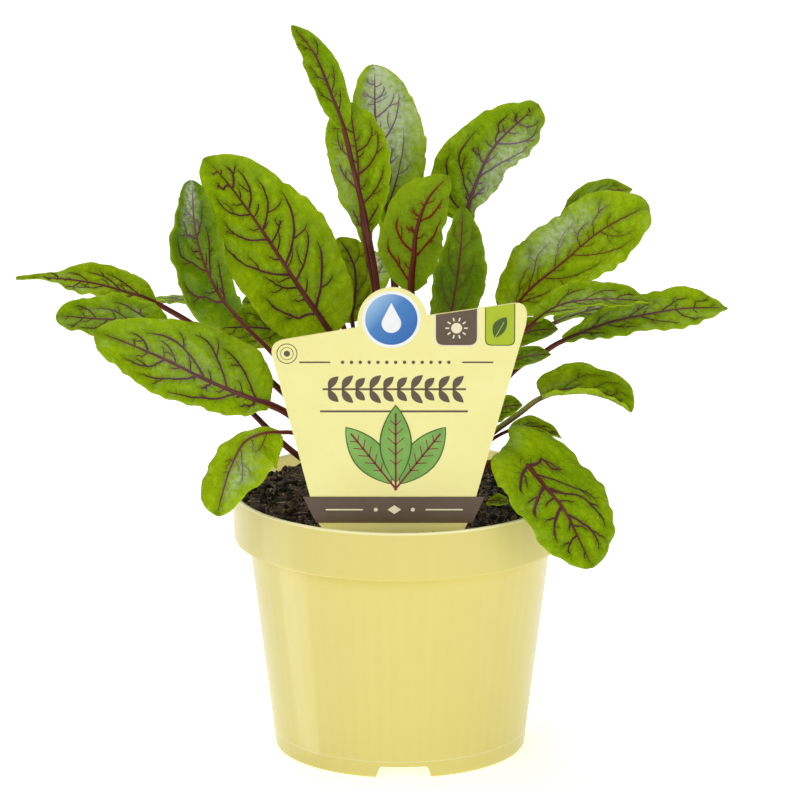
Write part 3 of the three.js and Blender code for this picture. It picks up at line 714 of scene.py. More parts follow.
def buildFibres(material):
    # thin bent roots and chips lying on the soil: middle + length * direction, bowed by 1 - 4 t^2
    random = np.random.default_rng(8)
    count = fibreShape["count"]
    middle = scatterOnSoil(random, count, *fibreShape["area"])
    turn = random.uniform(0, 2 * np.pi, count)
    direction = vectors(np.cos(turn), np.sin(turn), random.uniform(-0.12, 0.25, count))
    sideways = vectors(-np.sin(turn), np.cos(turn), 0)
    length = random.uniform(*fibreShape["length"], count)[:, None, None]
    t = np.linspace(-0.5, 0.5, 6)[None, :, None]
    bow = random.uniform(-0.25, 0.25, (count, 1, 1)) * (1 - 4 * t * t)
    centres = middle[:, None] + length * (t * direction[:, None] + bow * sideways[:, None])
    centres[..., 2] += 0.25 + random.uniform(0, 0.5, (count, 1))
    side, up = tubeFrames(centres, np.array([0.0, 0.0, 1.0]))
    thick = random.uniform(*fibreShape["radius"], (count, 1)) * (1 - 0.6 * (2 * t[..., 0]) ** 2)
    points, faces = sweepTubes(centres, side, up, thick, thick * 0.8, 4)
    tone = np.repeat(random.uniform(0.5, 0.95, count), len(points) // count)
    addPiece("soil_fibres", points, faces, [material], "soil", tags={"tone": tone})


buildSoil()
crumbly = makeCrumbMaterial()
buildCrumbs(crumbly)
buildFibres(crumbly)
print("soil built")


labelShape = {
    "y": -47,                # middle of the card
    "thickness": 0.8,
    "edge": 0.12,
    "bumpCentre": (-2.6, 168),
    "bumpRadius": 12.2,
    "ink": 0.04,             # thickness of a printed layer
    "bandThickness": 0.3,
    "topLeft": (9.4, 170.1),       # ends of the slanted upper edge, where the tabs hang
    "topRight": (40, 174.6),
    "colours": ((246, 240, 163), (243, 236, 156)),
}
inkColours = {
    # each ink's two close tones; the blue one is a material of its own
    "brown": ((92, 75, 58), (98, 81, 64)),
    "cream": ((240, 234, 196), (234, 227, 186)),
    "white": ((246, 247, 246), (238, 240, 240)),
    "blue": None,
    "lime": ((176, 195, 20), (170, 189, 22)),
    "darkGreen": ((62, 84, 30), (70, 94, 36)),
    "leafGreen": ((110, 162, 66), (134, 184, 84)),
    "red": ((124, 30, 44), (134, 38, 50)),
}


def arcPoints(centre, radius, start, end, count):
    # points (x + r cos a, z + r sin a) with the angle in degrees
    return centre + radius * towards(np.radians(np.linspace(start, end, count)))


def labelOutline():
    # a slanted top with a round bump, rounded upper corners, and a stake that runs to a blunt point
    return np.vstack([
        [(-3, 56), (3, 56), (24.3, 96)],
        quadraticCurve((43.8, 166.5), (45.6, 175), labelShape["topRight"], 7),
        arcPoints(labelShape["bumpCentre"], labelShape["bumpRadius"], 10, 190, 34),
        quadraticCurve((-40, 161.6), (-45.8, 160.6), (-44.6, 155.5), 7),
        [(-29.3, 96)],
    ])


def standUp(points, level):
    # turns a plate that lies on z = 0 to face the front, that many millimetres before the card's face
    front = labelShape["y"] - labelShape["thickness"] / 2
    return vectors(points[:, 0], front - level - points[:, 2], points[:, 1])


def plate(outline, level, thickness=None):
    points, faces = prism(np.asarray(outline, float), 0, thickness or labelShape["ink"])
    return standUp(points, level), faces


def dot(centre, radius, level, count=20):
    # a round plate with that many sides
    return plate(arcPoints(centre, radius, 0, 360 - 360 / count, count), level)


def ringPlate(centre, inner, outer, level):
    # a flat ring: its section's four corners carried round
    ink = labelShape["ink"]
    points, faces = turnProfile(np.array([(outer, 0), (outer, ink), (inner, ink), (inner, 0)]), 40)
    return standUp(points + (*centre, 0), level), faces


def ruler(start, end, width, level):
    # a straight stroke of the given width
    start, end = np.array(start, float), np.array(end, float)
    across = unit(np.array([-(end - start)[1], (end - start)[0]])) * width / 2
    return plate([start - across, end - across, end + across, start + across], level)


def leafPlate(base, angle, length, width, level, bend=0.0):
    # a pointed leaf: half width sin(pi t)^0.85 along a middle line bowed by t(1 - t)
    t = np.linspace(0, 1, 18)
    half = width / 2 * np.sin(np.pi * t) ** 0.85
    middle = np.column_stack([t * length, bend * length * 4 * t * (1 - t)])
    right = middle - np.column_stack([0 * half, half])
    left = (middle + np.column_stack([0 * half, half]))[-2:0:-1]
    return plate(np.vstack([right, left]) @ spinBy(math.radians(angle)).T + base, level)


def hangingTab(left, right, bottom, corner, inset=0.0):
    # a tab that hangs from the card's slanted upper edge, with two round lower corners
    left, right, bottom = left + inset, right - inset, bottom + inset
    (lowX, lowZ), (highX, highZ) = labelShape["topLeft"], labelShape["topRight"]
    leftTop, rightTop = (lowZ + (highZ - lowZ) / (highX - lowX) * (x - lowX) - 0.15 for x in (left, right))
    return roundedProfile([
        (left, bottom, corner), (right, bottom, corner), (right, rightTop, 0), (left, leftTop, 0)])


def printedLayers():
    # every printed shape as (ink name, points and faces); higher levels lie on lower ones
    layers = []

    def put(ink, *parts):
        layers.extend((ink, part) for part in parts)

    bandLevel = labelShape["bandThickness"]
    put("brown", plate([(-29.4, 95.2), (25.4, 95.2), (29.7, 104.6), (-34, 104.6)], 0, bandLevel))
    for left in (-26, 9):
        put("cream", ruler((left, 100), (left + 13, 100), 0.5, bandLevel))
    put("cream", plate([(-4.4, 100), (-2, 98.4), (0.4, 100), (-2, 101.6)], bandLevel))
    put("cream", dot((-8.5, 100), 0.7, bandLevel), dot((4.5, 100), 0.7, bandLevel))

    disc = (-3, 168.7)
    put("white", dot(disc, 10.2, 0, 60))
    put("blue", dot(disc, 9.1, 0.04, 60))
    drop = np.vstack([arcPoints((disc[0], disc[1] - 1.4), 3.4, 150, 390, 30), [(disc[0], disc[1] + 6)]])
    put("white", plate(drop, 0.08))

    put("cream", plate(hangingTab(11.9, 27.4, 158.9, 3.2), 0))
    put("brown", plate(hangingTab(11.9, 27.4, 158.9, 2.8, 0.6), 0.04))
    sun = (19.7, 165.6)
    put("cream", dot(sun, 1.9, 0.08, 36))
    for angle in evenAngles(10):
        ray = towards(angle)
        put("cream", ruler(sun + 2.6 * ray, sun + 3.9 * ray, 0.5, 0.08))
    put("darkGreen", plate(hangingTab(29.6, 40.1, 159.3, 2.2), 0))
    put("lime", plate(hangingTab(29.6, 40.1, 159.3, 2.0, 0.35), 0.04))
    put("darkGreen", leafPlate((33, 162), 62, 8.6, 4.6, 0.08, 0.05))
    put("lime", ruler((32.8, 161.6), (36.2, 167.8), 0.28, 0.12))

    badge = (-39.4, 156.4)
    put("brown", ringPlate(badge, 3.35, 3.65, 0), dot(badge, 1.1, 0), ringPlate(badge, 2.1, 2.3, 0))

    for left in (-35.1, 21.7):
        put("brown", ruler((left, 153.3), (left + 10.8, 153.3), 0.55, 0))
    for spot in np.linspace(-20, 17, 13):
        put("brown", dot((spot, 153.3), 0.62, 0, 18))
    put("brown", ruler((-27.9, 135.6), (23.7, 135.6), 0.7, 0))
    put("brown", ruler((-27, 143.6), (23, 143.6), 0.7, 0))
    for number, spot in enumerate(np.linspace(-25, 18.5, 10)):
        size = 5.8 + 0.7 * math.sin(2.4 * number)
        put("brown", leafPlate((spot, 143.6), 52, size, 2.7, 0, 0.08),
            leafPlate((spot, 143.6), -52, size, 2.7, 0, -0.08))

    base = np.array([-1.5, 107.5])
    for lean, length in ((38, 25.5), (-38, 25.5), (0, 27.5)):
        angle = math.radians(90 - lean)
        reach = towards(angle)
        foot = base + 2.5 * reach
        lift = 0.0 if lean else 0.12
        put("darkGreen", leafPlate(foot - 0.5 * reach, 90 - lean, length + 1, 11.4, lift))
        put("leafGreen", leafPlate(foot, 90 - lean, length, 10.4, lift + 0.04))
        put("red", ruler(base - 0.5 * reach, foot + (length - 2.5) * reach, 0.7, lift + 0.08))
        for share in 0.13 * np.arange(1, 6):
            start = foot + reach * length * (0.1 + share)
            reachOut = 3.9 * math.sin(math.pi * (0.12 + share))
            for slant in (angle + math.radians(48), angle - math.radians(48)):
                put("red", ruler(start, start + reachOut * towards(slant), 0.35, lift + 0.08))
    return layers


def makeCardMaterial():
    # pale yellow card in soft patches with fine darker grains
    material, tree, shader = newMaterial("labelCard", **{"Specular IOR Level": 0.35})
    place = objectPlace(tree)
    soft = softPatches(tree, place, 60, 0.25)
    fine = fineGrain(tree, place, 1500, 0.63)
    body = mixColour(tree, soft, *labelShape["colours"])
    setInputs(tree, shader, {
        "Base Color": tint(tree, body, (fine["Specks"], (0, 1, 0, 0.16), (206, 192, 118))),
        "Roughness": mapRange(tree, fine["Height"], 0.3, 0.7, 0.42, 0.52),
        "Normal": bumpNormal(tree, fine["Height"], 0.00002, 0.3)})
    return material


def makeInkMaterial(name, first, second):
    # printed ink on the card: two close tones in soft patches, with the card's fine grain
    material, tree, shader = newMaterial(name, **{"Specular IOR Level": 0.4})
    place = objectPlace(tree)
    fine = fineGrain(tree, place, 1900, 0.64)
    setInputs(tree, shader, {
        "Base Color": mixColour(tree, softPatches(tree, place, 140, 0.3), first, second),
        "Roughness": mapRange(tree, fine["Height"], 0.3, 0.7, 0.36, 0.48)})
    return material


def makeDiscMaterial():
    # blue ink that grows lighter from the lower right to the upper left
    material, tree, shader = newMaterial("discBlue", **{"Specular IOR Level": 0.4, "Roughness": 0.4})
    place = objectPlace(tree)
    split = addNode(tree, "ShaderNodeSeparateXYZ", {"Vector": place})
    slant = calculate(tree, "SUBTRACT", split.outputs["Z"], split.outputs["X"])
    body = rampColour(tree, mapRange(tree, slant, 0.16, 0.184), [
        (0.0, (44, 104, 178)), (0.6, (66, 128, 192)), (1.0, (150, 190, 222))])
    specks = fineGrain(tree, place, 1900, 0.64)["Specks"]
    setInputs(tree, shader, {"Base Color": tint(tree, body, (specks, (0, 1, 0, 0.1), (40, 90, 160)))})
    return material


def buildLabel():
    thick = labelShape["thickness"]
    card = addPiece("label_board", *plate(labelOutline(), -thick, thick), [makeCardMaterial()],
                    "label_card", ["label"], smooth=False)
    soft = card.modifiers.new("edge", "BEVEL")
    soft.width = labelShape["edge"] * millimetre
    soft.segments = 2
    soft.limit_method = "ANGLE"
    soft.angle_limit = math.radians(50)

    names = list(inkColours)
    materials = [makeInkMaterial("ink" + name[0].upper() + name[1:], *inkColours[name])
                 if inkColours[name] else makeDiscMaterial() for name in names]
    layers = printedLayers()
    points, faces = joinParts([part for ink, part in layers])
    number = np.repeat([names.index(ink) for ink, part in layers], [len(part[1]) for ink, part in layers])
    addPiece("label_print", points, faces, materials, "label_card", faceMaterial=number, smooth=False)


buildLabel()
print("label built")


# What the leaves share where their own values below don't say otherwise. Every leaf also has a path
# from the crown to its tip, half as the half width of its blade, and bloom as its pale waxy bloom, which
# also stands for a painted sheen of reflected light: amount, place along, place across and reach.
usualLeaf = dict(
    neck=4,             # number of the path's point at which the blade begins
    stalk=(1.8, 1.3),   # the stalk's radius at its foot and at the blade
    face=(0, -0.6, 0.8),     # the side that the upper surface looks to
    wave=0.9,           # height of the waved edge
    fold=0.3,           # angle in radians by which the two halves are cupped
    slim=0.78,          # girth of the stalk and midrib against the solid's
    widest=0.42,        # where along the blade it is widest
    start=0.1,          # width at the neck
    base=0.6,           # how slowly the blade widens
    tip=0.75,           # how slowly it narrows
    skew=(0, 0),        # how much wider one half is than the other, at the neck and at the tip
    lobe=0,             # how far the corners reach back past the neck
    cover=0,            # share of each half that lies back over the end of the stalk
    steps=1,            # depth of the dents in the edge
    quilt=1,            # how high the blade swells between its veins
    tone=0.5,           # green from dark (0) to light (1)
    gloss=0.09,         # how wet the blade looks
    veins=(1, 1),       # girth and number of the veins against the usual
    warm=0,             # how red the veins are
    ribEnd=0.95,        # where the midrib fades out
    paleStalk=0,        # how green the upper side of the stalk is
    sideVeins=(),       # (side, foot, climb, end) as in sideVein, where they aren't drawn at random
)

leafValues = {
    "leaf_01": dict(neck=5, half=6.5, stalk=(1.7, 1.1), face=(0.4, -1, 0.2), wave=0.7, fold=0.4, slim=0.8,
        tone=0.42, bloom=(0.15, 0.5, -0.3, 0.4), veins=(0.9, 0.9),
        path=[(-4, 1, 90), (-5, 0, 130), (-8, -1, 168), (-12, -2, 192), (-16, -2, 210), (-20, -2, 227),
        (-24, -1, 238), (-30, 2, 252), (-38, 5, 262)]),
    "leaf_02": dict(neck=3, half=12.6, stalk=(1.5, 1.1), face=(-0.45, -1, 0.2), widest=0.62, base=1.4,
        tip=0.45, skew=(0.3, 0), tone=0.64, bloom=(0.4, 0.45, -0.6, 0.35), veins=(1.1, 0.9), warm=0.4,
        path=[(-3, 5, 90), (-5, 5, 130), (-9, 5, 165), (-12, 4, 182), (-14, 4, 198), (-15, 5, 215),
        (-18, 7, 234)]),
    "leaf_03": dict(neck=3, half=14.8, face=(0.5, -1, 0.3), wave=1.1, slim=1, widest=0.55, tip=0.55,
        skew=(0.35, 0.1), tone=0.78, bloom=(1.7, 0.8, 0.2, 0.44), veins=(1, 0.9),
        sideVeins=[(1, 0.09, 0.5, 0.6), (1, 0.3, 0.2, 0.3), (1, 0.49, 0.32, 0.62), (1, 0.67, 0.14, 0.5),
        (1, 0.78, 0.1, 0.35), (-1, 0.2, 0.3, 0.6), (-1, 0.45, 0.25, 0.6), (-1, 0.68, 0.06, 0.45),
        (-1, 0.79, 0.04, 0.5), (-1, 0.88, 0.03, 0.4)],
        path=[(1, 6, 90), (0, 9, 130), (-2, 11, 168), (-4, 13, 188), (-6, 14, 202), (-8, 16, 216),
        (-9, 17, 230), (-9, 18, 245)]),
    "leaf_04": dict(neck=2, half=12.6, stalk=(1.7, 1.2), face=(0.5, 0.9, 0.2), fold=-0.3, slim=1.15,
        skew=(0.2, 0), tone=0.4, bloom=(0.1, 0.5, 0, 0.4), veins=(1.45, 0.7), warm=1,
        sideVeins=[(1, 0.05, 0.36, 0.78), (1, 0.31, 0.24, 0.62), (1, 0.47, 0.03, 0.3), (1, 0.6, 0.04, 0.3),
        (-1, 0.28, 0.37, 0.8), (-1, 0.56, 0.28, 0.6)],
        path=[(2, -4, 90), (4, -8, 130), (4, -8, 169), (5, -8, 181), (6, -7, 191), (10, -6, 202),
        (17, -5, 210)]),
    "leaf_05": dict(half=14, face=(-0.55, -0.9, 0.4), wave=1.2, slim=0.95, widest=0.4, base=0.3, tip=0.42,
        skew=(-0.6, 0.35), bloom=(1.2, 0.42, 0.6, 0.42), veins=(1.15, 1),
        sideVeins=[(-1, 0.03, 0.36, 0.8), (-1, 0.16, 0.42, 0.67), (-1, 0.44, 0.05, 0.45),
        (-1, 0.6, 0.19, 0.5), (-1, 0.8, 0.05, 0.35), (1, 0.33, 0.42, 0.78), (1, 0.6, 0.3, 0.75),
        (1, 0.8, 0.13, 0.6), (1, 0.17, 0.12, 0.4)],
        path=[(4, 4, 90), (9, 5, 125), (15, 6, 155), (20, 6, 176), (23, 6, 191), (27, 8, 204),
        (34, 9, 218), (49, 12, 232)]),
    "leaf_06": dict(neck=3, half=10.9, stalk=(1.6, 1.1), face=(0.5, -1, 0.2), wave=0.7, slim=0.5, tone=0.1,
        bloom=(0.05, 0.5, 0.5, 0.4), veins=(0.4, 0.5), warm=0.5,
        path=[(5, -5, 90), (9, -10, 115), (13, -15, 138), (16, -18, 155), (19, -20, 170), (21, -21, 186),
        (22, -22, 203)]),
    "leaf_07": dict(half=17.4, stalk=(1.9, 1.4), face=(-0.6, -0.75, 0.5), wave=1.4, fold=0.25, slim=0.55,
        widest=0.5, base=0.5, tip=0.42, skew=(-0.05, 0.12), tone=0.68, bloom=(0.95, 0.5, -0.6, 0.24),
        veins=(0.62, 1), warm=0.6,
        sideVeins=[(1, 0.1, 0.2, 0.4), (1, 0.3, 0.3, 0.62), (1, 0.5, 0.33, 0.7), (1, 0.7, 0.15, 0.5),
        (-1, 0.08, 0.2, 0.5), (-1, 0.2, 0.24, 0.6), (-1, 0.38, 0.22, 0.6), (-1, 0.56, 0.12, 0.4),
        (-1, 0.66, 0.14, 0.55)],
        path=[(7, 0, 90), (14, -1, 110), (23, -2, 133), (31, -1, 148), (38, 0, 157), (46, 1, 167),
        (58, 2, 177), (71, 3, 188), (88, 5, 197)]),
    "leaf_08": dict(half=6.4, stalk=(1.5, 0.9), face=(-0.4, -0.7, 0.6), wave=0.5, tone=0.55,
        bloom=(0.3, 0.5, -0.3, 0.4), veins=(0.5, 0.8),
        path=[(6, 6, 90), (15, 14, 115), (30, 21, 145), (46, 25, 170), (58, 27, 183), (70, 28, 195),
        (83, 30, 197)]),
    "leaf_09": dict(neck=5, half=9.6, stalk=(1.7, 1.2), fold=0.35, widest=0.66, base=0.8, tip=0.8,
        skew=(0.05, 0.05), tone=0.68, bloom=(0.35, 0.35, -0.3, 0.4), veins=(0.95, 0.9),
        path=[(7, -3, 90), (18, -6, 108), (30, -9, 126), (40, -10, 140), (51, -9, 147), (58, -8, 151),
        (73, -8, 157), (87, -7, 160), (101, -6, 162), (116, -5, 162)]),
    "leaf_10": dict(half=9, stalk=(1.6, 1.1), face=(0, -0.35, 0.94), wave=0.7, fold=0.6, tip=0.8,
        bloom=(0.25, 0.6, 0, 0.4),
        path=[(6, -6, 90), (15, -11, 108), (27, -15, 132), (38, -18, 150), (48, -19, 161), (57, -20, 167),
        (71, -20, 169), (89, -20, 168)]),
    "leaf_11": dict(neck=3, half=4.5, stalk=(1.3, 0.9), wave=0.4, slim=0.5, tone=0.3,
        bloom=(0.15, 0.5, 0, 0.4), veins=(0.35, 0.4),
        path=[(6, -8, 90), (16, -16, 112), (28, -21, 134), (37, -22, 145), (45, -23, 149),
        (53, -24, 150)]),
    "leaf_12": dict(neck=3, half=6, stalk=(1.3, 0.9), wave=0.4, slim=0.5, tone=0.62,
        bloom=(0.15, 0.5, 0, 0.4), veins=(0.35, 0.4),
        path=[(8, -2, 90), (17, -1, 112), (30, 0, 138), (39, 1, 148), (47, 1, 152), (56, 0, 153)]),
    "leaf_13": dict(neck=3, half=5, stalk=(1.2, 0.8), face=(0, -0.7, 0.7), wave=0.3, slim=0.5, tone=0.45,
        bloom=(0.15, 0.5, 0, 0.4), veins=(0.35, 0.4),
        path=[(7, -8, 90), (15, -17, 104), (24, -22, 119), (31, -24, 127), (37, -25, 131),
        (43, -26, 132)]),
    "leaf_14": dict(half=12, face=(0, -0.2, 0.98), wave=0.6, fold=0.9, start=0.35, base=0.4, tip=0.5,
        tone=0.72, bloom=(0.2, 0.3, -0.4, 0.3), veins=(0.6, 0.8), paleStalk=0.9,
        path=[(7, -4, 90), (18, -9, 104), (31, -13, 117), (42, -15, 126), (50, -15, 132), (60, -15, 135),
        (70, -15, 134), (77, -15, 131), (82, -16, 127)]),
    "leaf_15": dict(half=19.3, face=(0.4, -0.6, 0.65), wave=0.8, fold=-0.3, slim=1, start=0.9, tip=0.55,
        skew=(-0.22, -0.16), lobe=0.7, cover=0.25, steps=0.15, tone=0.48, bloom=(0.12, 0.45, -0.5, 0.3),
        veins=(1.3, 0.9),
        sideVeins=[(-1, 0.14, 0.1, 0.5), (-1, 0.19, 0.34, 0.68), (-1, 0.3, 0.44, 0.72),
        (-1, 0.54, 0.35, 0.5), (1, 0.14, 0.08, 0.6), (1, 0.26, 0.21, 0.75), (1, 0.46, 0.26, 0.65),
        (1, 0.72, 0.13, 0.6)],
        path=[(5, -7, 90), (14, -18, 101), (26, -30, 111), (37, -39, 117), (44, -43, 115), (51, -48, 108),
        (57, -54, 102), (62, -58, 93), (67, -62, 83)]),
    "leaf_16": dict(neck=3, half=5, stalk=(1.2, 0.8), face=(0, -0.2, 0.98), wave=0.3, fold=0.8, tone=0.6,
        bloom=(0.1, 0.5, 0, 0.4),
        path=[(6, -7, 90), (18, -15, 103), (30, -20, 116), (39, -22, 122), (47, -22, 123),
        (57, -22, 119)]),
    "leaf_17": dict(half=16, stalk=(1.9, 1.4), face=(0.1, -0.8, 0.6), wave=1.3, fold=0.25, slim=0.9,
        base=0.45, tip=0.6, skew=(0.42, -0.18), quilt=1.5, tone=0.6, bloom=(0.34, 0.5, 0.1, 0.45),
        gloss=0.16, veins=(1.1, 0.95),
        sideVeins=[(1, 0.07, 0.26, 0.68), (1, 0.24, 0.28, 0.74), (1, 0.37, 0.38, 0.56),
        (1, 0.54, 0.11, 0.35), (1, 0.7, 0.12, 0.42), (-1, 0.07, 0.08, 0.5), (-1, 0.18, 0.32, 0.8),
        (-1, 0.33, 0.04, 0.3), (-1, 0.42, 0.27, 0.7), (-1, 0.6, 0.2, 0.5)],
        path=[(-6, -5, 90), (-15, -14, 102), (-27, -24, 117), (-38, -30, 129), (-46, -32, 134),
        (-54, -33, 137), (-68, -33, 143), (-82, -32, 150), (-96, -31, 156), (-107, -30, 160)]),
    "leaf_18": dict(half=11.5, stalk=(1.7, 1.2), face=(-0.5, -0.75, 0.5), fold=-0.25, slim=0.6, widest=0.6,
        base=0.5, tip=0.6, skew=(-0.85, 0.35), quilt=0.7, tone=0.7, bloom=(0.6, 0.62, -0.35, 0.3),
        veins=(0.7, 0.6), warm=0.7,
        sideVeins=[(-1, 0.12, 0.25, 0.4), (-1, 0.4, 0.3, 0.5), (1, 0.5, 0.1, 0.2)],
        path=[(-6, -7, 90), (-15, -18, 102), (-26, -29, 116), (-35, -36, 124), (-42, -40, 126),
        (-49, -43, 126), (-55, -46, 123), (-60, -49, 113), (-64, -52, 99)]),
    "leaf_19": dict(half=9.5, stalk=(1.8, 1.2), face=(0, -0.5, 0.87), fold=0.4, widest=0.32, base=0.9,
        tip=2.2, tone=0.8, bloom=(0.35, 0.55, -0.6, 0.16), ribEnd=0.8,
        path=[(-8, 0, 90), (-22, 2, 107), (-42, 4, 129), (-65, 4, 148), (-87, 3, 162), (-98, 3, 166),
        (-109, 3, 169), (-122, 2, 171), (-136, 0, 172)]),
    "leaf_20": dict(neck=5, half=10.3, stalk=(1.7, 1.1), wave=0.8, base=0.5, tip=0.5,
        bloom=(0.25, 0.4, 0.4, 0.4),
        path=[(-8, -3, 90), (-20, -10, 98), (-31, -16, 107), (-42, -20, 117), (-55, -22, 131),
        (-83, -20, 157), (-97, -20, 161), (-109, -20, 162), (-121, -20, 163)]),
    "leaf_21": dict(neck=5, half=10.8, stalk=(1.7, 1.3), face=(0.5, -0.9, 0.1), wave=1.1, fold=0.25,
        slim=0.62, widest=0.45, start=0.4, base=0.4, tip=0.6, skew=(-0.4, 0.05), quilt=1.7, tone=0.14,
        bloom=(1.1, 0.97, -0.2, 0.3), gloss=0.2, veins=(1.05, 1.1),
        sideVeins=[(1, 0.1, 0.3, 0.6), (1, 0.31, 0.36, 0.5), (1, 0.61, 0.22, 0.45), (-1, 0.12, 0.25, 0.8),
        (-1, 0.36, 0.27, 0.7), (-1, 0.51, 0.04, 0.25), (-1, 0.59, 0.17, 0.5), (-1, 0.74, 0.09, 0.4)],
        path=[(-6, -5, 90), (-17, -12, 107), (-32, -19, 131), (-44, -23, 149), (-52, -25, 158),
        (-58, -26, 165), (-64, -26, 173), (-69, -25, 184), (-72, -23, 196), (-73, -20, 212)]),
    "leaf_22": dict(neck=3, half=21.8, stalk=(2.1, 1.6), face=(0.5, -0.9, 0.3), wave=1.6, fold=0.25,
        slim=0.92, base=0.5, tip=0.7, tone=0.63, bloom=(0.12, 0.25, 0.6, 0.35), veins=(1.1, 0.95),
        sideVeins=[(1, 0.14, 0.25, 0.7), (1, 0.3, 0.18, 0.66), (1, 0.39, 0.27, 0.74),
        (1, 0.51, 0.06, 0.38), (1, 0.58, 0.2, 0.62), (1, 0.69, 0.17, 0.5), (1, 0.81, 0.1, 0.4),
        (-1, 0.12, 0.2, 0.7), (-1, 0.27, 0.14, 0.43), (-1, 0.34, 0.29, 0.79), (-1, 0.53, 0.19, 0.6),
        (-1, 0.67, 0.16, 0.55), (-1, 0.84, 0.03, 0.35)],
        path=[(-4, -2, 90), (-8, -4, 110), (-15, -6, 134), (-24, -6, 152), (-36, -5, 170), (-49, -3, 190),
        (-60, 0, 205), (-69, 2, 215)]),
    # leaves 23, 24 and 25 are given the lightest greens as painted light: they lie in the shade of the
    # leaves in front of them
    "leaf_23": dict(neck=3, half=8.5, stalk=(1.5, 1), face=(0.2, -1, 0.2), wave=0.6, tip=0.6, tone=1,
        bloom=(0.2, 0.5, 0, 0.4), veins=(0.5, 0.5),
        path=[(-3, 4, 90), (-7, 8, 110), (-13, 10, 136), (-17, 10, 153), (-16, 11, 162), (-16, 12, 171),
        (-18, 13, 177), (-22, 14, 183)]),
    "leaf_24": dict(neck=3, half=9, stalk=(1.3, 0.9), face=(0, -0.7, 0.7), wave=0.4, tone=0.95,
        bloom=(0.4, 0.6, 0, 0.4), veins=(0.6, 0.8),
        path=[(-7, 3, 90), (-14, 5, 115), (-26, 5, 142), (-37, 5, 156), (-46, 5, 160), (-56, 5, 162)]),
    "leaf_25": dict(neck=3, half=9.5, stalk=(1.4, 0.9), face=(0, -0.7, 0.7), wave=0.5, tone=1,
        bloom=(0.2, 0.5, 0, 0.4), veins=(0.6, 0.8),
        path=[(-7, -1, 90), (-14, -4, 112), (-25, -6, 139), (-37, -6, 152), (-50, -6, 155),
        (-64, -6, 155)]),
    "leaf_26": dict(half=12, face=(0.1, -0.5, 0.87), wave=1.4, tone=0.55, bloom=(0.4, 0.5, 0.3, 0.5),
        path=[(0, 8, 90), (-2, 20, 108), (-5, 33, 130), (-8, 45, 144), (-10, 55, 152), (-13, 70, 158),
        (-15, 85, 159), (-17, 99, 154)]),
    "leaf_27": dict(half=13, face=(-0.6, -0.6, 0.6), wave=1.3, bloom=(0.4, 0.4, -0.3, 0.5),
        path=[(4, 6, 90.5), (14, 19, 108), (25, 32, 130), (34, 42, 145), (41, 49, 154), (51, 58, 163),
        (61, 67, 168), (70, 75, 170)]),
    "leaf_28": dict(half=13, face=(0.5, -0.4, 0.8), wave=1.3, tone=0.6, bloom=(0.5, 0.5, 0.3, 0.5),
        path=[(-4, 6, 90.5), (-14, 19, 106), (-25, 32, 127), (-35, 44, 143), (-42, 52, 151),
        (-51, 63, 159), (-60, 74, 162), (-68, 84, 160)]),
    "leaf_29": dict(half=9, stalk=(1.6, 1.1), face=(-0.3, -0.2, 0.9), bloom=(0.3, 0.5, -0.3, 0.5),
        path=[(8, 3, 90), (19, 9, 110), (32, 15, 131), (45, 21, 144), (56, 26, 149), (70, 32, 152),
        (84, 38, 152), (97, 43, 149)]),
    "leaf_30": dict(half=11, stalk=(1.7, 1.2), face=(0.4, -0.2, 0.9), wave=1.1, tone=0.55,
        bloom=(0.4, 0.5, 0.4, 0.5),
        path=[(-8, 4, 90), (-20, 12, 107), (-34, 21, 126), (-47, 30, 140), (-57, 36, 147), (-69, 43, 151),
        (-81, 50, 151), (-93, 56, 147)]),
    "leaf_31": dict(neck=3, half=11, stalk=(1.6, 1.1), face=(0.1, -0.2, 1), bloom=(0.4, 0.3, 0.3, 0.4),
        path=[(-2, 8, 90), (-8, 24, 103), (-14, 40, 116), (-19, 52, 122), (-24, 64, 123), (-29, 76, 119),
        (-33, 86, 110)]),
    "leaf_32": dict(half=12, stalk=(1.7, 1.2), face=(0.4, -0.8, 0.5), wave=1.1, bloom=(0.4, 0.6, 0.3, 0.4),
        path=[(-3, 7, 90), (-9, 16, 112), (-17, 27, 137), (-23, 34, 152), (-28, 38, 161), (-36, 44, 173),
        (-44, 49, 183), (-52, 53, 190)]),
    "leaf_33": dict(half=11, stalk=(1.7, 1.2), face=(0, -0.85, 0.5), wave=1, tone=0.6,
        bloom=(0.4, 0.6, -0.3, 0.4),
        path=[(2, 8, 90), (3, 18, 115), (4, 28, 142), (4, 34, 157), (4, 38, 166), (3, 44, 180),
        (1, 49, 192), (-2, 53, 202)]),
    "leaf_34": dict(neck=3, half=3, stalk=(1, 0.7), wave=0.2, fold=0.4, slim=0.5, tone=0.9,
        bloom=(0.1, 0.5, 0, 0.4), veins=(0.35, 0.4),
        path=[(7, -6, 91), (17, -16, 96), (26, -25, 97), (31, -30, 98), (34, -33, 99), (38, -36, 99)]),
}
leaves = [{**usualLeaf, **values, "name": name, "number": number}
          for number, (name, values) in enumerate(leafValues.items())]

bladeShape = {
    "spacing": 0.7,          # distance between the points of a blade
    "thickness": 0.5,
    "edgeThickness": 0.32,
    "edgeWaves": 2.5,        # long waves of the edge, as in the solids
    "quiltHeight": 0.95,     # how far the blade rises between its veins
    "quiltWidth": 3.3,
    "puckerHeight": 0.42,    # small bulges all over the blade
    "puckerSize": 4.6,
    "crinkleHeight": 0.4,    # short waves of the edge
    "crinkleLength": 6.5,
    "lobuleLength": 8.5,     # the outline's shallow steps
    "lobuleDepth": 1.0,
    "ribTipRadius": 0.34,
    "neckOverlap": 0.95,     # least half width, as a share of the midrib's radius
    "leastWidth": 0.3,
    "rimWidth": 0.12,        # how far the rounded rim stands out beyond the edge
    "swayHeight": 0.35,      # long soft bends of the blade
    "swaySize": 9,
    "greens": [(0.0, (58, 96, 1)), (0.35, (124, 166, 1)), (0.65, (162, 198, 2)), (1.0, (196, 224, 12))],
}
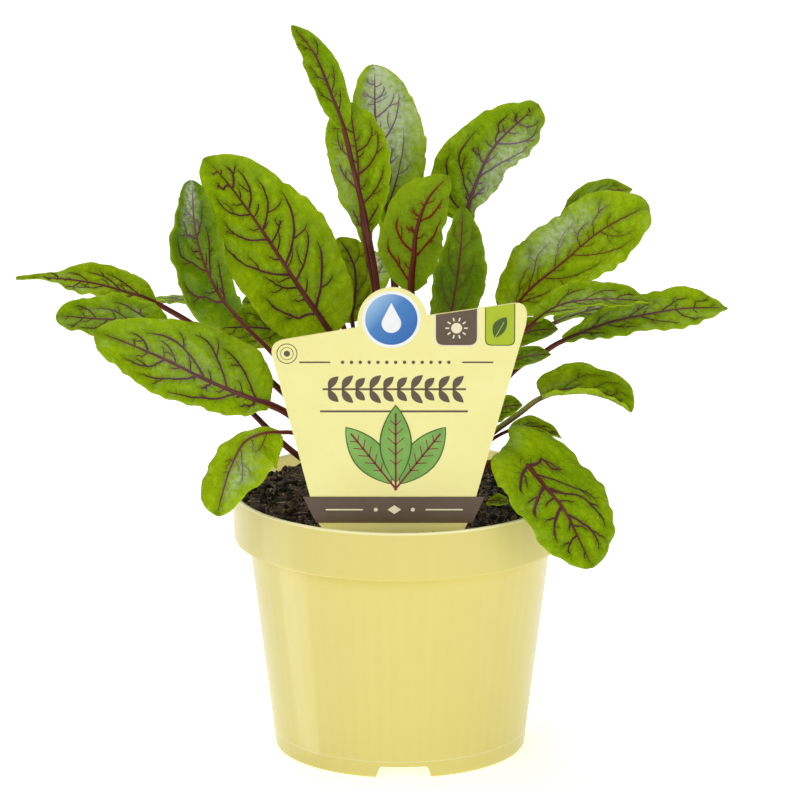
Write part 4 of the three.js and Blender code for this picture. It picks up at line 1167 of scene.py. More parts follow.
veinShape = {
    # pairs are the ends of a random range, lengths are shares of the blade's unless said otherwise
    "spacing": 13.5,         # millimetres between side veins
    "radius": 0.62,          # of a side vein on a leaf of 15 mm half width
    "climb": (1.0, 1.4),     # how far a side vein climbs, as a share of its width
    "end": (0.5, 0.76),      # how far out it ends, as a share of the half width
    "forkFoot": (0.3, 0.68),       # where on the side vein its fork begins
    "forkAngle": (0.6, 1.2),
    "forkLength": (0.35, 0.7),     # as a share of the room up to the edge
    "shortFoot": (0.36, 0.6),      # of a short vein, between two side veins
    "shortReach": (0.12, 0.34),
    "spurAngle": (50, 85),         # degrees
    "colours": ((60, 14, 12), (92, 32, 32)),
}


def pathPoints(path, place):
    # uniform Catmull-Rom spline: a cubic between two points whose slopes are half the difference
    # of their neighbours; beyond each end the path goes on straight
    ends = np.vstack([2 * path[0] - path[1], path, 2 * path[-1] - path[-2]])
    place = np.clip(place, 0, 1) * (len(path) - 1)
    at = np.minimum(place.astype(int), len(path) - 2)
    part = (place - at)[..., None]
    before, first, second, after = (ends[at + step] for step in range(4))
    leaving, arriving = (second - before) / 2, (after - first) / 2
    return (first + leaving * part + (3 * (second - first) - 2 * leaving - arriving) * part ** 2
            + (2 * (first - second) + leaving + arriving) * part ** 3)


def measureLeaf(leaf):
    # the path's length along 200 steps, and at which fraction of it the blade begins
    path = np.array(leaf["path"], float)
    fractions = np.linspace(0, 1, 201)
    fine = pathPoints(path, fractions)
    lengths = np.concatenate([[0], np.cumsum(np.linalg.norm(np.diff(fine, axis=0), axis=1))])
    begin = lengths[int(round(200 * leaf["neck"] / (len(path) - 1)))] / lengths[-1]
    leaf.update(path=path, fractions=fractions, lengths=lengths, begin=begin,
                bladeLength=lengths[-1] * (1 - begin), stalkLength=lengths[-1] * begin)


def leafFrame(leaf, at):
    # centre, direction, across and up at fractions of the leaf's whole length
    path = leaf["path"]
    place = np.interp(at * leaf["lengths"][-1], leaf["lengths"], leaf["fractions"])
    along = unit(pathPoints(path, place + 1e-4) - pathPoints(path, place - 1e-4))
    across = unit(np.cross(along, np.array(leaf["face"], float)))
    return pathPoints(path, place), along, across, np.cross(across, along)


def sideOf(v):
    # -1 on the left half of a blade and 1 on its right half
    return np.where(v < 0, -1.0, 1.0)


def halfWidth(leaf, u, side):
    # from the neck it grows as 1 - (1 - u/widest)^2 to the power base, and beyond the widest
    # place it shrinks as 1 - share^2 to the power tip
    neckSkew, tipSkew = leaf["skew"]
    widest, start = leaf["widest"], leaf["start"]
    share = 1 + side * (neckSkew + (tipSkew - neckSkew) * u)
    below = (1 - (1 - np.minimum(u / widest, 1)) ** 2) ** leaf["base"]
    above = (1 - np.clip((u - widest) / (1 - widest), 0, 1) ** 2) ** leaf["tip"]
    return leaf["half"] * share * np.where(u < widest, start + (1 - start) * below, above)


def flatWidth(leaf, u, side):
    # the half width on which the flat coordinates are laid out
    return np.maximum(halfWidth(leaf, u, side), bladeShape["leastWidth"])


def ribRadius(leaf, u):
    # the midrib's radius, straight from the stalk's end to the tip
    start = leaf["stalk"][1] * leaf["slim"]
    return start + (bladeShape["ribTipRadius"] - start) * np.minimum(1, u / 0.9)


def bladeReach(leaf, u, side):
    # the half width, never less than the midrib that it grows on
    return np.maximum(flatWidth(leaf, u, side), ribRadius(leaf, u) * bladeShape["neckOverlap"])


def cornerReach(leaf, u, reach, half):
    # How far the blade is drawn back past the neck, as sin(pi reach^0.8) times (1 - u / 0.35)^1.5.
    # The two halves' widths are blended near the midrib, and with cover the middle goes back as
    # well and lies over the end of the stalk.
    middle = (bladeReach(leaf, u, -1.0) + bladeReach(leaf, u, 1.0)) / 2
    half = middle + (half - middle) * smoothStep(0, 0.5, reach)
    across = np.sin(np.pi * np.maximum(reach, leaf["cover"]) ** 0.8)
    return leaf["lobe"] * half * across * np.maximum(0, 1 - u / 0.35) ** 1.5


def edgeDents(leaf, u, side):
    # Millimetres by which the outline steps in. Along each lobule the dent fades as (1 - t)^1.4,
    # and over its last part it comes back in a short step of the next lobule's own depth.
    shape = bladeShape
    y = u * leaf["bladeLength"]
    spot = vectors(y + 31 * leaf["number"], 17 * side, 0)
    beat = y / shape["lobuleLength"] + 0.7 * lumpNoise(spot, 11) + 0.37 * side + leaf["number"]
    lobule = np.floor(beat)
    t = beat - lobule

    def depth(number):
        code = np.mod(number * 37 + 91 * side, 4096).astype(int)
        deepest = shape["lobuleDepth"] * leaf["steps"] * min(1, leaf["half"] / 13)
        return deepest * (0.15 + 0.85 * noiseTable[code])

    steps = depth(lobule) * (1 - t) ** 1.4 + depth(lobule + 1) * smoothStep(0.82, 1, t)
    return steps + 0.16 * lumpNoise(spot + 7, 1.6)


def plainBlade(leaf, u, v):
    # The blade without relief. Each half is an arc of the angle fold: lateral half sin(fold v) / fold
    # and lift half (1 - cos(fold v)) / fold, with a long wave that grows as v squared, and corners
    # drawn back past the neck.
    centre, along, across, up = leafFrame(leaf, leaf["begin"] + u * (1 - leaf["begin"]))
    side, reach = sideOf(v), np.abs(v)
    half = bladeReach(leaf, u, side)
    half = half - edgeDents(leaf, u, side) * smoothStep(2, 6, half) * reach ** 3
    fold = leaf["fold"]
    lateral = half * np.sin(fold * reach) / fold
    lift = half * (1 - np.cos(fold * reach)) / fold
    phase = np.where(side > 0, 0.0, 2.0)
    wave = leaf["wave"] * np.sin(2 * np.pi * bladeShape["edgeWaves"] * u + phase) * reach ** 2
    back = cornerReach(leaf, u, reach, half)
    return (centre + across * (side * lateral)[..., None] + up * (lift + wave)[..., None]
            - along * back[..., None])


def bloomAndSheenAt(leaf, u, v):
    # the waxy bloom and the sheen painted with it fade from the centre as exp(-distance^2 / reach^2)
    amount, alongAt, acrossAt, reach = leaf["bloom"]
    return amount * np.exp(-(((u - alongAt) / reach) ** 2 + ((v - acrossAt) / (reach * 1.6)) ** 2))


def sideVein(leaf, side, foot, climb, end, t, wiggle):
    # Out from the midrib as 1 - (1 - t)^1.6 of the half width while it climbs as 0.7 t + 0.3 t^2, so
    # that it bends over and runs on beside the edge; the wiggle pushes it about a little.
    u = foot + climb * (0.7 * t + 0.3 * t ** 2)
    v = side * end * (1 - (1 - t) ** 1.6)
    return (v + wiggle) * halfWidth(leaf, u, side), (u + 0.35 * wiggle) * leaf["bladeLength"]


def veinGirth(t, spot):
    # a vein stays thick and a little knobbly for most of its way and thins over its last fifth
    return (1 - 0.3 * t) * (1 - 0.65 * smoothStep(0.78, 1, t)) * (1 + 0.22 * lumpNoise(spot * 3, 1.1))


def stackLines(lines):
    # many (x, y, radius) lines of equal counts as three arrays with a row for each line
    return tuple(np.stack([line[part] for line in lines]) for part in range(3))


def veinPlan(leaf):
    # Veins of a blade in flat millimetres: x across from the midrib, y along it. Side veins, a
    # fork that leaves each of them, and short ones between them. Returns groups of lines as
    # (x, y, radius), each group with equal point counts.
    random = np.random.default_rng(100 + leaf["number"])
    length = leaf["bladeLength"]
    girth, share = leaf["veins"]
    perSide = max(3, int(round(length / veinShape["spacing"] * share)))
    thick = veinShape["radius"] * girth * (leaf["half"] / 15) ** 0.5
    main, forks, short = [], [], []
    t, q = np.linspace(0, 1, 30), np.linspace(0, 1, 14)

    def drawnSide(side):
        # side veins at even distances, stirred a little, each as high as it is wide or more
        feet = []
        for number in range(perSide):
            place = number + (0.25 if side > 0 else 0.7) + random.uniform(-0.2, 0.2)
            foot = 0.03 + 0.8 * place / perSide
            reach = float(halfWidth(leaf, np.array(min(foot + 0.1, 0.95)), side)) / length
            climb = reach * random.uniform(*veinShape["climb"]) * (1.15 - 0.4 * foot)
            feet.append((foot, min(climb, 0.58 * (0.98 - foot)), random.uniform(*veinShape["end"])))
        return feet

    for side in (1, -1):
        given = [vein[1:] for vein in leaf["sideVeins"] if vein[0] == side]
        for number, (foot, climb, end) in enumerate(given or drawnSide(side)):
            spot = vectors(t * 5 + 3, 9 * number, 5 * side + 20 * leaf["number"])
            wiggle = (0.045 * lumpNoise(spot, 1.6) + 0.014 * lumpNoise(spot, 0.6)) * np.minimum(1, 3 * t)
            x, y = sideVein(leaf, side, foot, climb, end, t, wiggle)
            strength = thick * random.uniform(0.75, 1.15) * (1 - 0.35 * foot)
            main.append((x, y, strength * veinGirth(t, spot)))
            begin = int(random.uniform(*veinShape["forkFoot"]) * 29)
            ahead = unit(np.array([x[begin + 2] - x[begin], y[begin + 2] - y[begin]]))
            turn = random.uniform(*veinShape["forkAngle"]) * (-side if random.random() < 0.6 else side)
            away = spinBy(turn) @ ahead
            room = abs(float(halfWidth(leaf, y[begin:begin + 1] / length, side)[0]) - abs(x[begin]))
            size = room * random.uniform(*veinShape["forkLength"])
            size = min(size, 9, 0.45 * math.hypot(x[-1] - x[0], y[-1] - y[0]))
            wander = 0.4 * lumpNoise(vectors(q * 4, begin, number), 1) * q
            line = size * (away * q[:, None] + (ahead - away) * 0.35 * (q ** 2)[:, None])
            line = line + wander[:, None]
            thinner = strength * veinGirth(q, spot[:14])
            forks.append((x[begin] + line[:, 0], y[begin] + line[:, 1], 0.6 * thinner))
            start = foot + random.uniform(*veinShape["shortFoot"]) * 0.8 / perSide
            climb = climb * random.uniform(*veinShape["shortReach"])
            wiggle = 0.02 * lumpNoise(vectors(q * 4, number, side), 1) * q
            x, y = sideVein(leaf, side, start, climb, random.uniform(*veinShape["shortReach"]), q, wiggle)
            short.append((x, y, 0.66 * thinner))
    return [stackLines(lines) for lines in (main, forks, short)]


def veinSpurs(leaf, groups):
    # Short barbs along the midrib and every vein: they leave it at 50 to 85 degrees, bend a little
    # towards its end and thin out to a point.
    random = np.random.default_rng(300 + leaf["number"])
    length = leaf["bladeLength"]
    ribY = np.linspace(0.06, 0.93, int(length / 0.9)) * length
    rib = (np.zeros((1, len(ribY))), ribY[None], 0.8 * ribRadius(leaf, ribY / length)[None])
    spurs = []
    t = np.linspace(0, 1, 5)
    for (x, y, radius), step, longest in zip([rib, *groups], (3, 3, 4, 5), (2.8, 2.8, 1.8, 1.5)):
        slope = unit(np.stack([np.gradient(x, axis=1), np.gradient(y, axis=1)], -1))
        for line in range(len(x)):
            for at in range(2, x.shape[1] - 1, step):
                turn = math.radians(random.uniform(*veinShape["spurAngle"]))
                turn = turn if random.random() < 0.5 else -turn
                forward = slope[line, at]
                out = spinBy(turn) @ forward
                girth = radius[line, at]
                size = (girth + 0.35 + random.random() ** 1.5 * longest) * min(1, leaf["half"] / 12)
                bend = (forward - out) * 0.2
                xs = x[line, at] + size * (out[0] * t + bend[0] * t ** 2)
                ys = y[line, at] + size * (out[1] * t + bend[1] * t ** 2)
                spurs.append((xs, ys, (0.17 + 0.3 * girth) * (1 - 0.7 * t)))
    return stackLines(spurs)


def nearestVein(x, y, groups):
    # distance in flat millimetres from every point to the closest vein
    lineX = np.concatenate([group[0].ravel() for group in groups])
    lineY = np.concatenate([group[1].ravel() for group in groups])
    away = np.full(x.size, 1e9)
    flatX, flatY = x.ravel(), y.ravel()
    for start in range(0, len(lineX), 400):
        part = slice(start, start + 400)
        square = (flatX[:, None] - lineX[part]) ** 2 + (flatY[:, None] - lineY[part]) ** 2
        away = np.minimum(away, square.min(axis=1))
    return np.sqrt(away).reshape(x.shape)


def surfaceNormals(points):
    # at a right angle to the differences along both sides of a grid of points
    return unit(np.cross(np.gradient(points, axis=1), np.gradient(points, axis=0)))


def leafGrid(leaf, groups):
    # The finished middle surface of a blade, its normals and its flat coordinates. Away from the
    # veins the blade swells as 1 - exp(-(gap / quiltWidth)^2); to that come long soft bends, small
    # bulges of noise, and a short sine wave that grows towards the edge as reach^4.
    shape, length = bladeShape, leaf["bladeLength"]
    rows = int(round(length / shape["spacing"])) + 8
    cols = 2 * int(round(leaf["half"] * 1.1 / shape["spacing"])) + 3
    s = np.linspace(0, 1, rows)
    rowPlace = 0.55 * s + 0.225 * (1 - np.cos(np.pi * s))
    u = np.repeat(rowPlace[:, None], cols, axis=1)
    v = np.repeat(np.linspace(-1, 1, cols)[None], rows, axis=0)
    points = plainBlade(leaf, u, v)
    side, reach = sideOf(v), np.abs(v)
    wide = flatWidth(leaf, u, side)
    x, y = v * wide, u * length
    veinGap = nearestVein(x, y, groups)
    ribGap = np.abs(x)
    away = np.minimum(veinGap, ribGap * 0.8)
    swell = 1 - np.exp(-(away / shape["quiltWidth"]) ** 2)
    inner = 1 - 0.5 * reach ** 6
    quilt = shape["quiltHeight"] * min(1, leaf["half"] / 11) * swell * inner
    spot = vectors(x, y, 50 * leaf["number"])
    sway = shape["swayHeight"] * lumpNoise(spot, shape["swaySize"])
    sway = sway * np.minimum(1, ribGap / 4) * min(1, leaf["half"] / 12)
    pucker = lumpNoise(spot, shape["puckerSize"]) + 0.45 * lumpNoise(spot + 9, shape["puckerSize"] / 2)
    pucker = shape["puckerHeight"] * pucker * swell * min(1, leaf["half"] / 11)
    crinkle = shape["crinkleHeight"] * min(1, leaf["half"] / 10) * reach ** 4
    drift = 1.5 * lumpNoise(spot * [0, 1, 1] + 3 * side[..., None], 11)
    beat = 2 * np.pi * y / shape["crinkleLength"] + drift
    relief = leaf["quilt"] * (quilt + pucker) + sway + crinkle * np.sin(beat + 2 * side)
    relief = relief * np.minimum(1, wide / 3)
    points = points + surfaceNormals(points) * relief[..., None]
    return {"u": rowPlace, "points": points, "normals": surfaceNormals(points), "x": x, "y": y, "v": v,
            "back": cornerReach(leaf, u, reach, wide), "veinGap": veinGap, "ribGap": ribGap,
            "hill": quilt + pucker, "rows": rows, "cols": cols}


def edgeLoop(rows, cols, step=0):
    # Point numbers once round the grid: along the neck, up one edge, back along the tip and down.
    # With a step of 1 they are those of the neighbours one row or column further in.
    number = np.arange(rows * cols).reshape(rows, cols)
    return np.concatenate([number[step, :-1], number[:-1, -1 - step], number[-1 - step, :0:-1],
                           number[:0:-1, step]])


def buildBlade(leaf, grid, materials):
    # two skins a thickness apart along the normals, joined by a rounded rim
    shape, rows, cols = bladeShape, grid["rows"], grid["cols"]
    count = rows * cols
    centre = grid["points"].reshape(-1, 3)
    normal = grid["normals"].reshape(-1, 3)
    reach = np.abs(grid["v"]).ravel()
    thick = shape["thickness"] + (shape["edgeThickness"] - shape["thickness"]) * reach ** 4
    top = centre + normal * thick[:, None] / 2
    bottom = centre - normal * thick[:, None] / 2
    loop = edgeLoop(rows, cols)
    outward = unit(centre[loop] - centre[edgeLoop(rows, cols, 1)])
    rim = centre[loop] + outward * shape["rimWidth"]
    points = np.vstack([top, bottom, rim])
    skin = gridFaces(rows, cols)
    beside = np.roll(loop, -1)
    ring = 2 * count + np.arange(len(loop))
    nextRing = np.roll(ring, -1)
    upper = np.stack([loop, ring, nextRing, beside], -1)
    lower = np.stack([ring, loop + count, beside + count, nextRing], -1)
    faces = np.vstack([skin, skin[:, ::-1] + count, upper, lower])
    number = np.repeat([0, 1, 0], [len(skin), len(skin), 2 * len(loop)])
    x, y = grid["x"].ravel(), grid["y"].ravel()
    flat = np.column_stack([x, y - grid["back"].ravel()]) + 60 * leaf["number"]
    flat = np.vstack([flat, flat, flat[loop]]) * millimetre

    def everywhere(values):
        values = values.ravel()
        return np.concatenate([values, values, values[loop]])

    tags = {
        "veinGrooveShade": everywhere(np.exp(-(grid["veinGap"] / 0.8) ** 2)),
        "ribGrooveShade": everywhere(np.exp(-(grid["ribGap"] / 1.3) ** 2)),
        "hill": everywhere(grid["hill"]),
        "edge": everywhere(np.abs(grid["v"]) ** 12),
        "tone": np.full(len(points), float(leaf["tone"])),
        "bloom": everywhere(bloomAndSheenAt(leaf, grid["y"] / leaf["bladeLength"], grid["v"])),
        "gloss": np.full(len(points), float(leaf["gloss"])),
    }
    addPiece(leaf["name"] + "_blade", points, faces, materials, "leaf", [leaf["name"]],
             faceMaterial=number, tags=tags, flat=flat)


def onBlade(leaf, grid, x, y):
    # place and normal on the finished blade for flat coordinates, blended from the four nearest points
    u = np.clip(y / leaf["bladeLength"], 0.004, 0.99)
    v = np.clip(x / flatWidth(leaf, u, sideOf(x)), -0.965, 0.965)
    row = np.interp(u, grid["u"], np.arange(grid["rows"]))
    col = (v + 1) / 2 * (grid["cols"] - 1)
    i = np.minimum(row.astype(int), grid["rows"] - 2)
    j = np.minimum(col.astype(int), grid["cols"] - 2)
    a, b = (row - i)[..., None], (col - j)[..., None]

    def blend(values):
        return ((1 - a) * (1 - b) * values[i, j] + (1 - a) * b * values[i, j + 1]
                + a * (1 - b) * values[i + 1, j] + a * b * values[i + 1, j + 1])

    return blend(grid["points"]), unit(blend(grid["normals"]))


def buildVeins(leaf, grid, groups, material):
    # every vein as a flat tube that goes through the blade and stands a little out on both sides
    parts, girth, sheen, crest = [], [], [], []

    def perPoint(values, sides):
        # one value for every ring of a tube, and those of its two end points
        ring = np.repeat(values, sides, axis=1)
        return np.column_stack([ring, values[:, 0], values[:, -1]]).ravel()

    for (x, y, radius), sides in zip([*groups, veinSpurs(leaf, groups)], (6, 6, 6, 4)):
        centres, normals = onBlade(leaf, grid, x, y)
        side, up = tubeFrames(centres, normals)
        high = bladeShape["thickness"] / 2 + 0.05 + 0.22 * radius
        parts.append(sweepTubes(centres, side, up, radius, high, sides))
        girth.append(perPoint(radius, sides))
        top = np.clip(np.sin(evenAngles(sides)), 0, 1) ** 2
        ring = np.tile(top, (*radius.shape, 1)).reshape(len(radius), -1)
        crest.append(np.column_stack([ring, 0 * radius[:, :2]]).ravel())
        u = y / leaf["bladeLength"]
        wide = np.maximum(halfWidth(leaf, np.clip(u, 0, 1), 0), 1)
        sheen.append(perPoint(bloomAndSheenAt(leaf, u, x / wide), sides))
    points, faces = joinParts(parts)
    addPiece(leaf["name"] + "_veins", points, faces, [material], "stalk",
             tags={"girth": np.concatenate(girth), "bloom": np.concatenate(sheen),
                   "crest": np.concatenate(crest), "warm": np.full(len(points), leaf["warm"])})


def cellEdges(tree, place, scale):
    # how far a point lies from the borders of the cells
    return addNode(tree, "ShaderNodeTexVoronoi", {"Vector": place, "Scale": scale},
                   feature="DISTANCE_TO_EDGE").outputs["Distance"]


def makeLeafMaterial(name, under):
    # greens by the leaf's tone, with painted shade in the creases and round the veins and painted
    # highlights on the bulges and in the middles of the pillows, with patches, a pale waxy bloom that also
    # stands for a painted sheen of reflected light, and small pillows and a fine net between the veins;
    # the underside is paler
    material, tree, shader = newMaterial(name, **{"Specular IOR Level": 0.04, "Coat Roughness": 0.16})
    flat = addNode(tree, "ShaderNodeUVMap", {}, uv_map="flat").outputs["UV"]
    small = softPatches(tree, flat, 260, 0.22)
    fine = fineGrain(tree, flat, 2300, 0.66)
    tone, hill = readTag(tree, "tone"), readTag(tree, "hill")
    pillows = cellEdges(tree, flat, 290)
    net = mapRange(tree, cellEdges(tree, flat, 620), 0.02, 0.2, 1, 0)
    paleNet = calculate(tree, "MULTIPLY", net, mapRange(tree, tone, 0.05, 0.4, 0.03, 0.16))
    grooveShade = calculate(tree, "MAXIMUM", readTag(tree, "veinGrooveShade"), readTag(tree, "ribGrooveShade"))
    body = tint(
        tree, rampColour(tree, tone, bladeShape["greens"]),
        (softPatches(tree, objectPlace(tree), 60, 0.2), (0, 1, 0, 0.3), (172, 200, 2)),
        (small, (0, 1, 0, 0.24), (78, 112, 1)),
        # painted shade in the creases near the veins and painted highlight on the tops of the bulges
        (hill, (-0.2, 0.5, 0.4, 0), (64, 94, 1)),
        (hill, (0.5, 1.4, 0, 0.3), (190, 214, 10)),
        # painted shade at the pillows' borders and painted highlight in their middles
        (pillows, (0, 0.42, 0.26, 0), (70, 104, 1)),
        (pillows, (0.3, 0.6, 0, 0.22), (200, 224, 40)),
        (paleNet, (0, 1, 0, 1), (186, 210, 20)),
        # painted shade along the grooves round the veins and the midrib
        (grooveShade, (0, 1, 0, 0.25), (70, 66, 4)),
        (fineGrain(tree, flat, 420, 0.735)["Specks"], (0, 1, 0, 0.5), (84, 52, 14)),
        ("edge", (0, 1, 0, 0.35), (176, 200, 24)))
    if under:
        body = tint(tree, body, (fine["Height"], (0.2, 0.8, 0.15, 0.3), (160, 182, 50)))
    else:
        # the pale bloom also stands for a painted sheen of reflected light
        shred = mapRange(tree, softPatches(tree, flat, 520, 0.22), 0, 1, 0.25, 1.0)
        sheen = calculate(tree, "MULTIPLY", shred, readTag(tree, "bloom"))
        body = tint(tree, body, (sheen, (0.1, 0.9, 0, 0.72), (206, 220, 176)))
        coat = calculate(tree, "ADD", mapRange(tree, sheen, 0.08, 0.7, 0, 0.8), readTag(tree, "gloss"))
        tree.links.new(coat, shader.inputs["Coat Weight"])
    rough = (0.5, 0.6) if under else (0.34, 0.46)
    height = calculate(tree, "MULTIPLY_ADD", net, -0.6, fine["Height"])
    height = calculate(tree, "ADD", height, mapRange(tree, pillows, 0, 0.42, 0, 5))
    setInputs(tree, shader, {
        "Base Color": body, "Roughness": mapRange(tree, small, 0, 1, *rough),
        "Normal": bumpNormal(tree, height, 0.00012, 0.7)})
    return material


def makeVeinMaterial():
    # dark red brown, redder where the leaf is warm, grey violet as a painted sheen where the blade has its
    # bloom, paler on the crest as a painted highlight and greener where a vein is thin
    material, tree, shader = newMaterial("leafVein", **{"Specular IOR Level": 0.12, "Roughness": 0.4})
    soft = softPatches(tree, objectPlace(tree), 180, 0.25)
    girth = readTag(tree, "girth")
    crestHighlight = calculate(tree, "MULTIPLY", readTag(tree, "crest"), mapRange(tree, girth, 0.25, 0.6))
    body = tint(
        tree, mixColour(tree, soft, *veinShape["colours"]),
        ("warm", (0, 1, 0, 0.9), (128, 40, 10)),
        # painted sheen: grey violet where the blade has its bloom
        ("bloom", (0.1, 0.8, 0, 0.85), (138, 120, 140)),
        # painted highlight along the crest of the thicker veins
        (crestHighlight, (0, 1, 0, 0.24), (140, 100, 106)),
        (girth, (0.04, 0.17, 0.5, 0), (92, 84, 12)))
    tree.links.new(body, shader.inputs["Base Color"])
    return material


def buildLeaves():
    skins = [makeLeafMaterial("leafUpper", False), makeLeafMaterial("leafUnder", True)]
    vein = makeVeinMaterial()
    for leaf in leaves:
        measureLeaf(leaf)
        groups = veinPlan(leaf)
        grid = leafGrid(leaf, groups)
        buildBlade(leaf, grid, skins)
        buildVeins(leaf, grid, groups, vein)


buildLeaves()
print("leaves built")


stalkShape = {
    "sides": 14,
    "petioleStep": 1.6,      # distance between rings
    "ribStep": 1.1,
    "groove": 0.24,          # depth of the groove along the upper side, as a share of the radius
    "footSwell": 0.55,       # how much thicker a stalk is where it leaves the crown
    "footLength": 14,
    "dip": 1.8,              # how far a covered stalk's end lies below its blade
    "colours": ((80, 24, 16), (106, 40, 32)),
    "paleColour": (150, 168, 74),
}


def stalkTube(leaf):
    # Rings from the crown to the leaf tip. The petiole is round with a groove on its upper side;
    # in the blade the tube becomes a midrib with a flat top that stands a little out of the blade.
    shape, begin = stalkShape, leaf["begin"]
    rings = max(12, int(leaf["stalkLength"] / shape["petioleStep"]))
    petiole = np.linspace(0, 1, rings, endpoint=False)
    rib = np.linspace(0, leaf["ribEnd"], max(12, int(leaf["bladeLength"] / shape["ribStep"])))
    at = np.concatenate([petiole * begin, begin + rib * (1 - begin)])
    centre, _, across, up = leafFrame(leaf, at)
    u = (at - begin) / (1 - begin)
    inward = u * leaf["bladeLength"]         # distance past the neck
    travelled = at * leaf["lengths"][-1]
    first, last = np.array(leaf["stalk"]) * leaf["slim"]
    free = first + (last - first) * at / begin
    radius = np.where(u < 0, free, ribRadius(leaf, np.maximum(u, 0)))
    radius = radius * (1 - 0.6 * smoothStep(leaf["ribEnd"] - 0.1, leaf["ribEnd"], u))
    radius = radius * (1 + shape["footSwell"] * np.exp(-(travelled / shape["footLength"]) ** 2))
    inBlade = smoothStep(-4, 5, inward)
    spot = vectors(travelled, 13 * leaf["number"], 0)
    radius = radius * (1 + 0.05 * lumpNoise(spot, 6) + 0.03 * lumpNoise(spot, 2))
    turn = evenAngles(shape["sides"])        # round the ring from its upper side
    fromTop = np.minimum(turn, 2 * np.pi - turn)
    groove = 1 - shape["groove"] * np.exp(-(fromTop / 0.5) ** 2) * (1 - inBlade)[:, None]
    sideways = -radius[:, None] * np.sin(turn) * groove
    if leaf["cover"]:
        # the stalk's end lies under the blade and comes up through it at the neck
        dip = shape["dip"] * smoothStep(-30, -14, inward) * smoothStep(1, -4, inward)
        centre = centre - up * dip[:, None]
    # above and below the blade the midrib stands out to its own heights
    above = radius + ((0.38 + 0.12 * radius) - radius) * inBlade
    below = radius + (np.maximum(1.25 * radius, 0.4) - radius) * inBlade
    upwards = np.cos(turn) * groove * np.where(np.cos(turn) > 0, above[:, None], below[:, None])
    ring = centre[:, None] + across[:, None] * sideways[..., None] + up[:, None] * upwards[..., None]
    points = np.vstack([ring.reshape(-1, 3), centre[:1], centre[-1:]])
    light = leaf["paleStalk"] * np.clip(np.cos(turn) * 1.6 + 0.3, 0, 1) * (1 - inBlade)[:, None]
    strand = vectors(np.arange(shape["sides"]), travelled[:, None] / 7, 5 * leaf["number"])
    streak = lumpNoise(strand, 1) * 0.5 + 0.5

    def everywhere(values, ends=(0, 0)):
        # one value for a ring, or one for each of its points, and those of the two end points
        return np.concatenate([(values.reshape(len(at), -1) + 0 * sideways).ravel(), ends])

    tags = {
        "pale": everywhere(light),
        "fromCrown": everywhere(travelled, (travelled[0], travelled[-1])),
        "bloom": everywhere(bloomAndSheenAt(leaf, u, 0 * u) * inBlade),
        "streak": everywhere(streak),
        "warm": everywhere(leaf["warm"] * inBlade),
    }
    return points, tubeFaces(len(at), shape["sides"]), tags


def crownBody():
    # the crown's profile turned round, with its radius stirred by noise
    points, faces = turnProfile(np.array(crownProfile, float), 72)
    stir = 1 + 0.05 * lumpNoise(points, 4)
    points[:, :2] *= stir[:, None]
    return points, faces


def makeStalkMaterial():
    # dark red with fine streaks along, darker and browner at the crown, grey violet as a painted sheen on
    # the midrib where the blade has its bloom, pale green where told
    material, tree, shader = newMaterial("redStalk", **{"Specular IOR Level": 0.2})
    place = objectPlace(tree)
    streak = readTag(tree, "streak")
    soft = softPatches(tree, place, 120, 0.25)
    fine = fineGrain(tree, place, 1500, 0.62)
    body = tint(
        tree, mixColour(tree, soft, *stalkShape["colours"]),
        (fine["Specks"], (0, 1, 0, 0.2), (140, 84, 60)),
        (streak, (0.4, 1, 0, 0.5), (138, 84, 70)),
        (streak, (0.4, 0, 0, 0.5), (58, 16, 8)),
        ("fromCrown", (2, 26, 0.55, 0), (74, 30, 22)),
        ("warm", (0, 1, 0, 0.8), (120, 36, 20)),
        # painted sheen: grey violet on the midrib where the blade has its bloom
        ("bloom", (0, 0.8, 0, 0.55), (140, 118, 134)),
        ("pale", (0, 1, 0, 1), stalkShape["paleColour"]))
    setInputs(tree, shader, {
        "Base Color": body, "Roughness": mapRange(tree, soft, 0, 1, 0.38, 0.5),
        "Normal": bumpNormal(tree, fine["Height"], 0.00006, 0.4)})
    return material


def buildStalks():
    tubes = [stalkTube(leaf) for leaf in leaves]
    crown = crownBody()
    points, faces = joinParts([tube[:2] for tube in tubes] + [crown])
    bare = np.zeros(len(crown[0]))
    tags = {tag: np.concatenate([tube[2][tag] for tube in tubes] + [bare]) for tag in tubes[0][2]}
    addPiece("stalk_cluster", points, faces, [makeStalkMaterial()], "stalk", ["stalks"], tags=tags)


buildStalks()
print("stalks built")


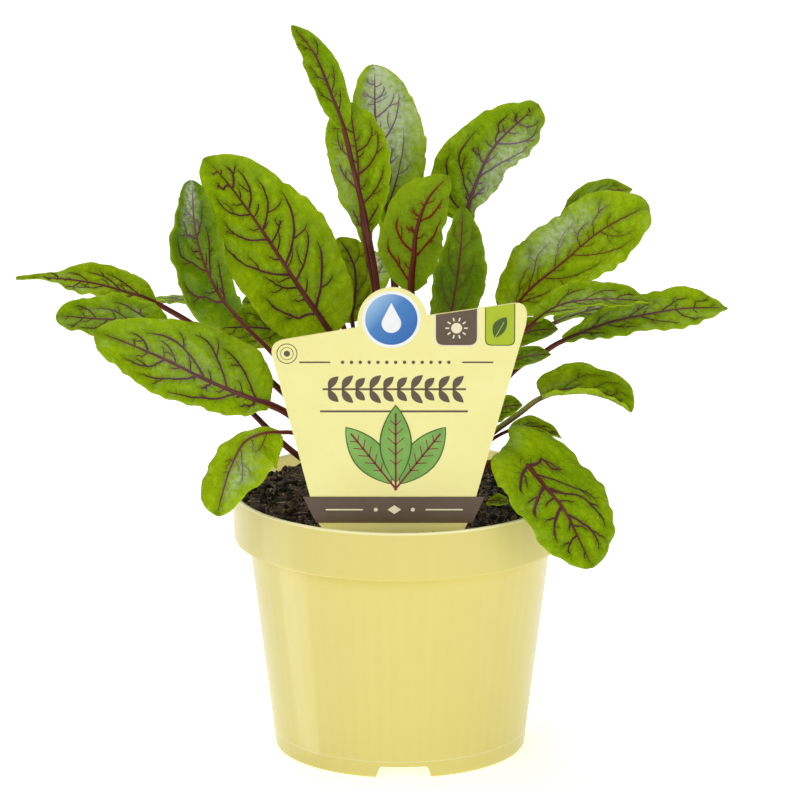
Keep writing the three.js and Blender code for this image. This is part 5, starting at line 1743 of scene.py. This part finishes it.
stageLight = {
    # each soft light: where it stands in metres, its side and its power
    "keyLight": ((-1.1, -1.3, 1.4), 1.4, 8.9),
    "fillLight": ((1.3, -1.5, 0.35), 1.4, 10.6),
    "topLight": ((-0.2, 0.2, 1.8), 0.9, 11),
    "backLight": ((-0.3, 1.6, 1.5), 1.0, 9),
    "frontLight": ((0.2, -2.4, 1.0), 2.0, 5.2),
}
surroundings = {
    "aim": (0, 0, 0.13),     # where the lights look
    "world": 0.18,
    "floorGlow": 0.6,
    "cardGlow": 2.7,
}


def addSheet(name, corners, material):
    # a flat sheet of four corners that belongs to the stage
    mesh = bpy.data.meshes.new(name)
    mesh.from_pydata((np.array(corners, float) * millimetre).tolist(), [], [(0, 1, 2, 3)])
    mesh.materials.append(material)
    sheet = bpy.data.objects.new(name, mesh)
    scene.collection.objects.link(sheet)
    return sheet


def buildStage():
    pale = newMaterial("paleFloor", **{
        "Base Color": (0.93, 0.93, 0.93, 1), "Roughness": 0.7, "Specular IOR Level": 0.1,
        "Emission Color": (1, 1, 1, 1), "Emission Strength": surroundings["floorGlow"]})[0]
    addSheet("floor", [(-4000, -4000, 0), (4000, -4000, 0), (4000, 4000, 0), (-4000, 4000, 0)], pale)
    # a bright wedge on the floor, left of the pot, that only reflections see
    glow = newMaterial("cardGlow", **{
        "Base Color": (0, 0, 0, 1), "Emission Color": (1, 1, 1, 1),
        "Emission Strength": surroundings["cardGlow"]})[0]
    card = addSheet("card", [(-38, -36, 0.3), (-330, -90, 0.3), (-330, 72, 0.3), (-47, -26, 0.3)], glow)
    card.visible_camera = False
    card.visible_diffuse = False
    card.visible_shadow = False


def buildLights():
    for name, (place, size, power) in stageLight.items():
        data = bpy.data.lights.new(name, "AREA")
        data.energy = power
        data.size = size
        light = bpy.data.objects.new(name, data)
        scene.collection.objects.link(light)
        light.location = place
        look = np.array(surroundings["aim"]) - np.array(place)
        level = math.hypot(look[0], look[1])
        tilt = math.pi / 2 + math.atan2(look[2], level)
        light.rotation_euler = (tilt, 0, math.atan2(-look[0], look[1]))
    world = bpy.data.worlds.new("studio")
    world.use_nodes = True
    sky = world.node_tree.nodes["Background"]
    sky.inputs["Color"].default_value = (1, 1, 1, 1)
    sky.inputs["Strength"].default_value = surroundings["world"]
    scene.world = world
    scene.view_settings.view_transform = "Standard"


buildStage()
buildLights()
print("stage and lights set")
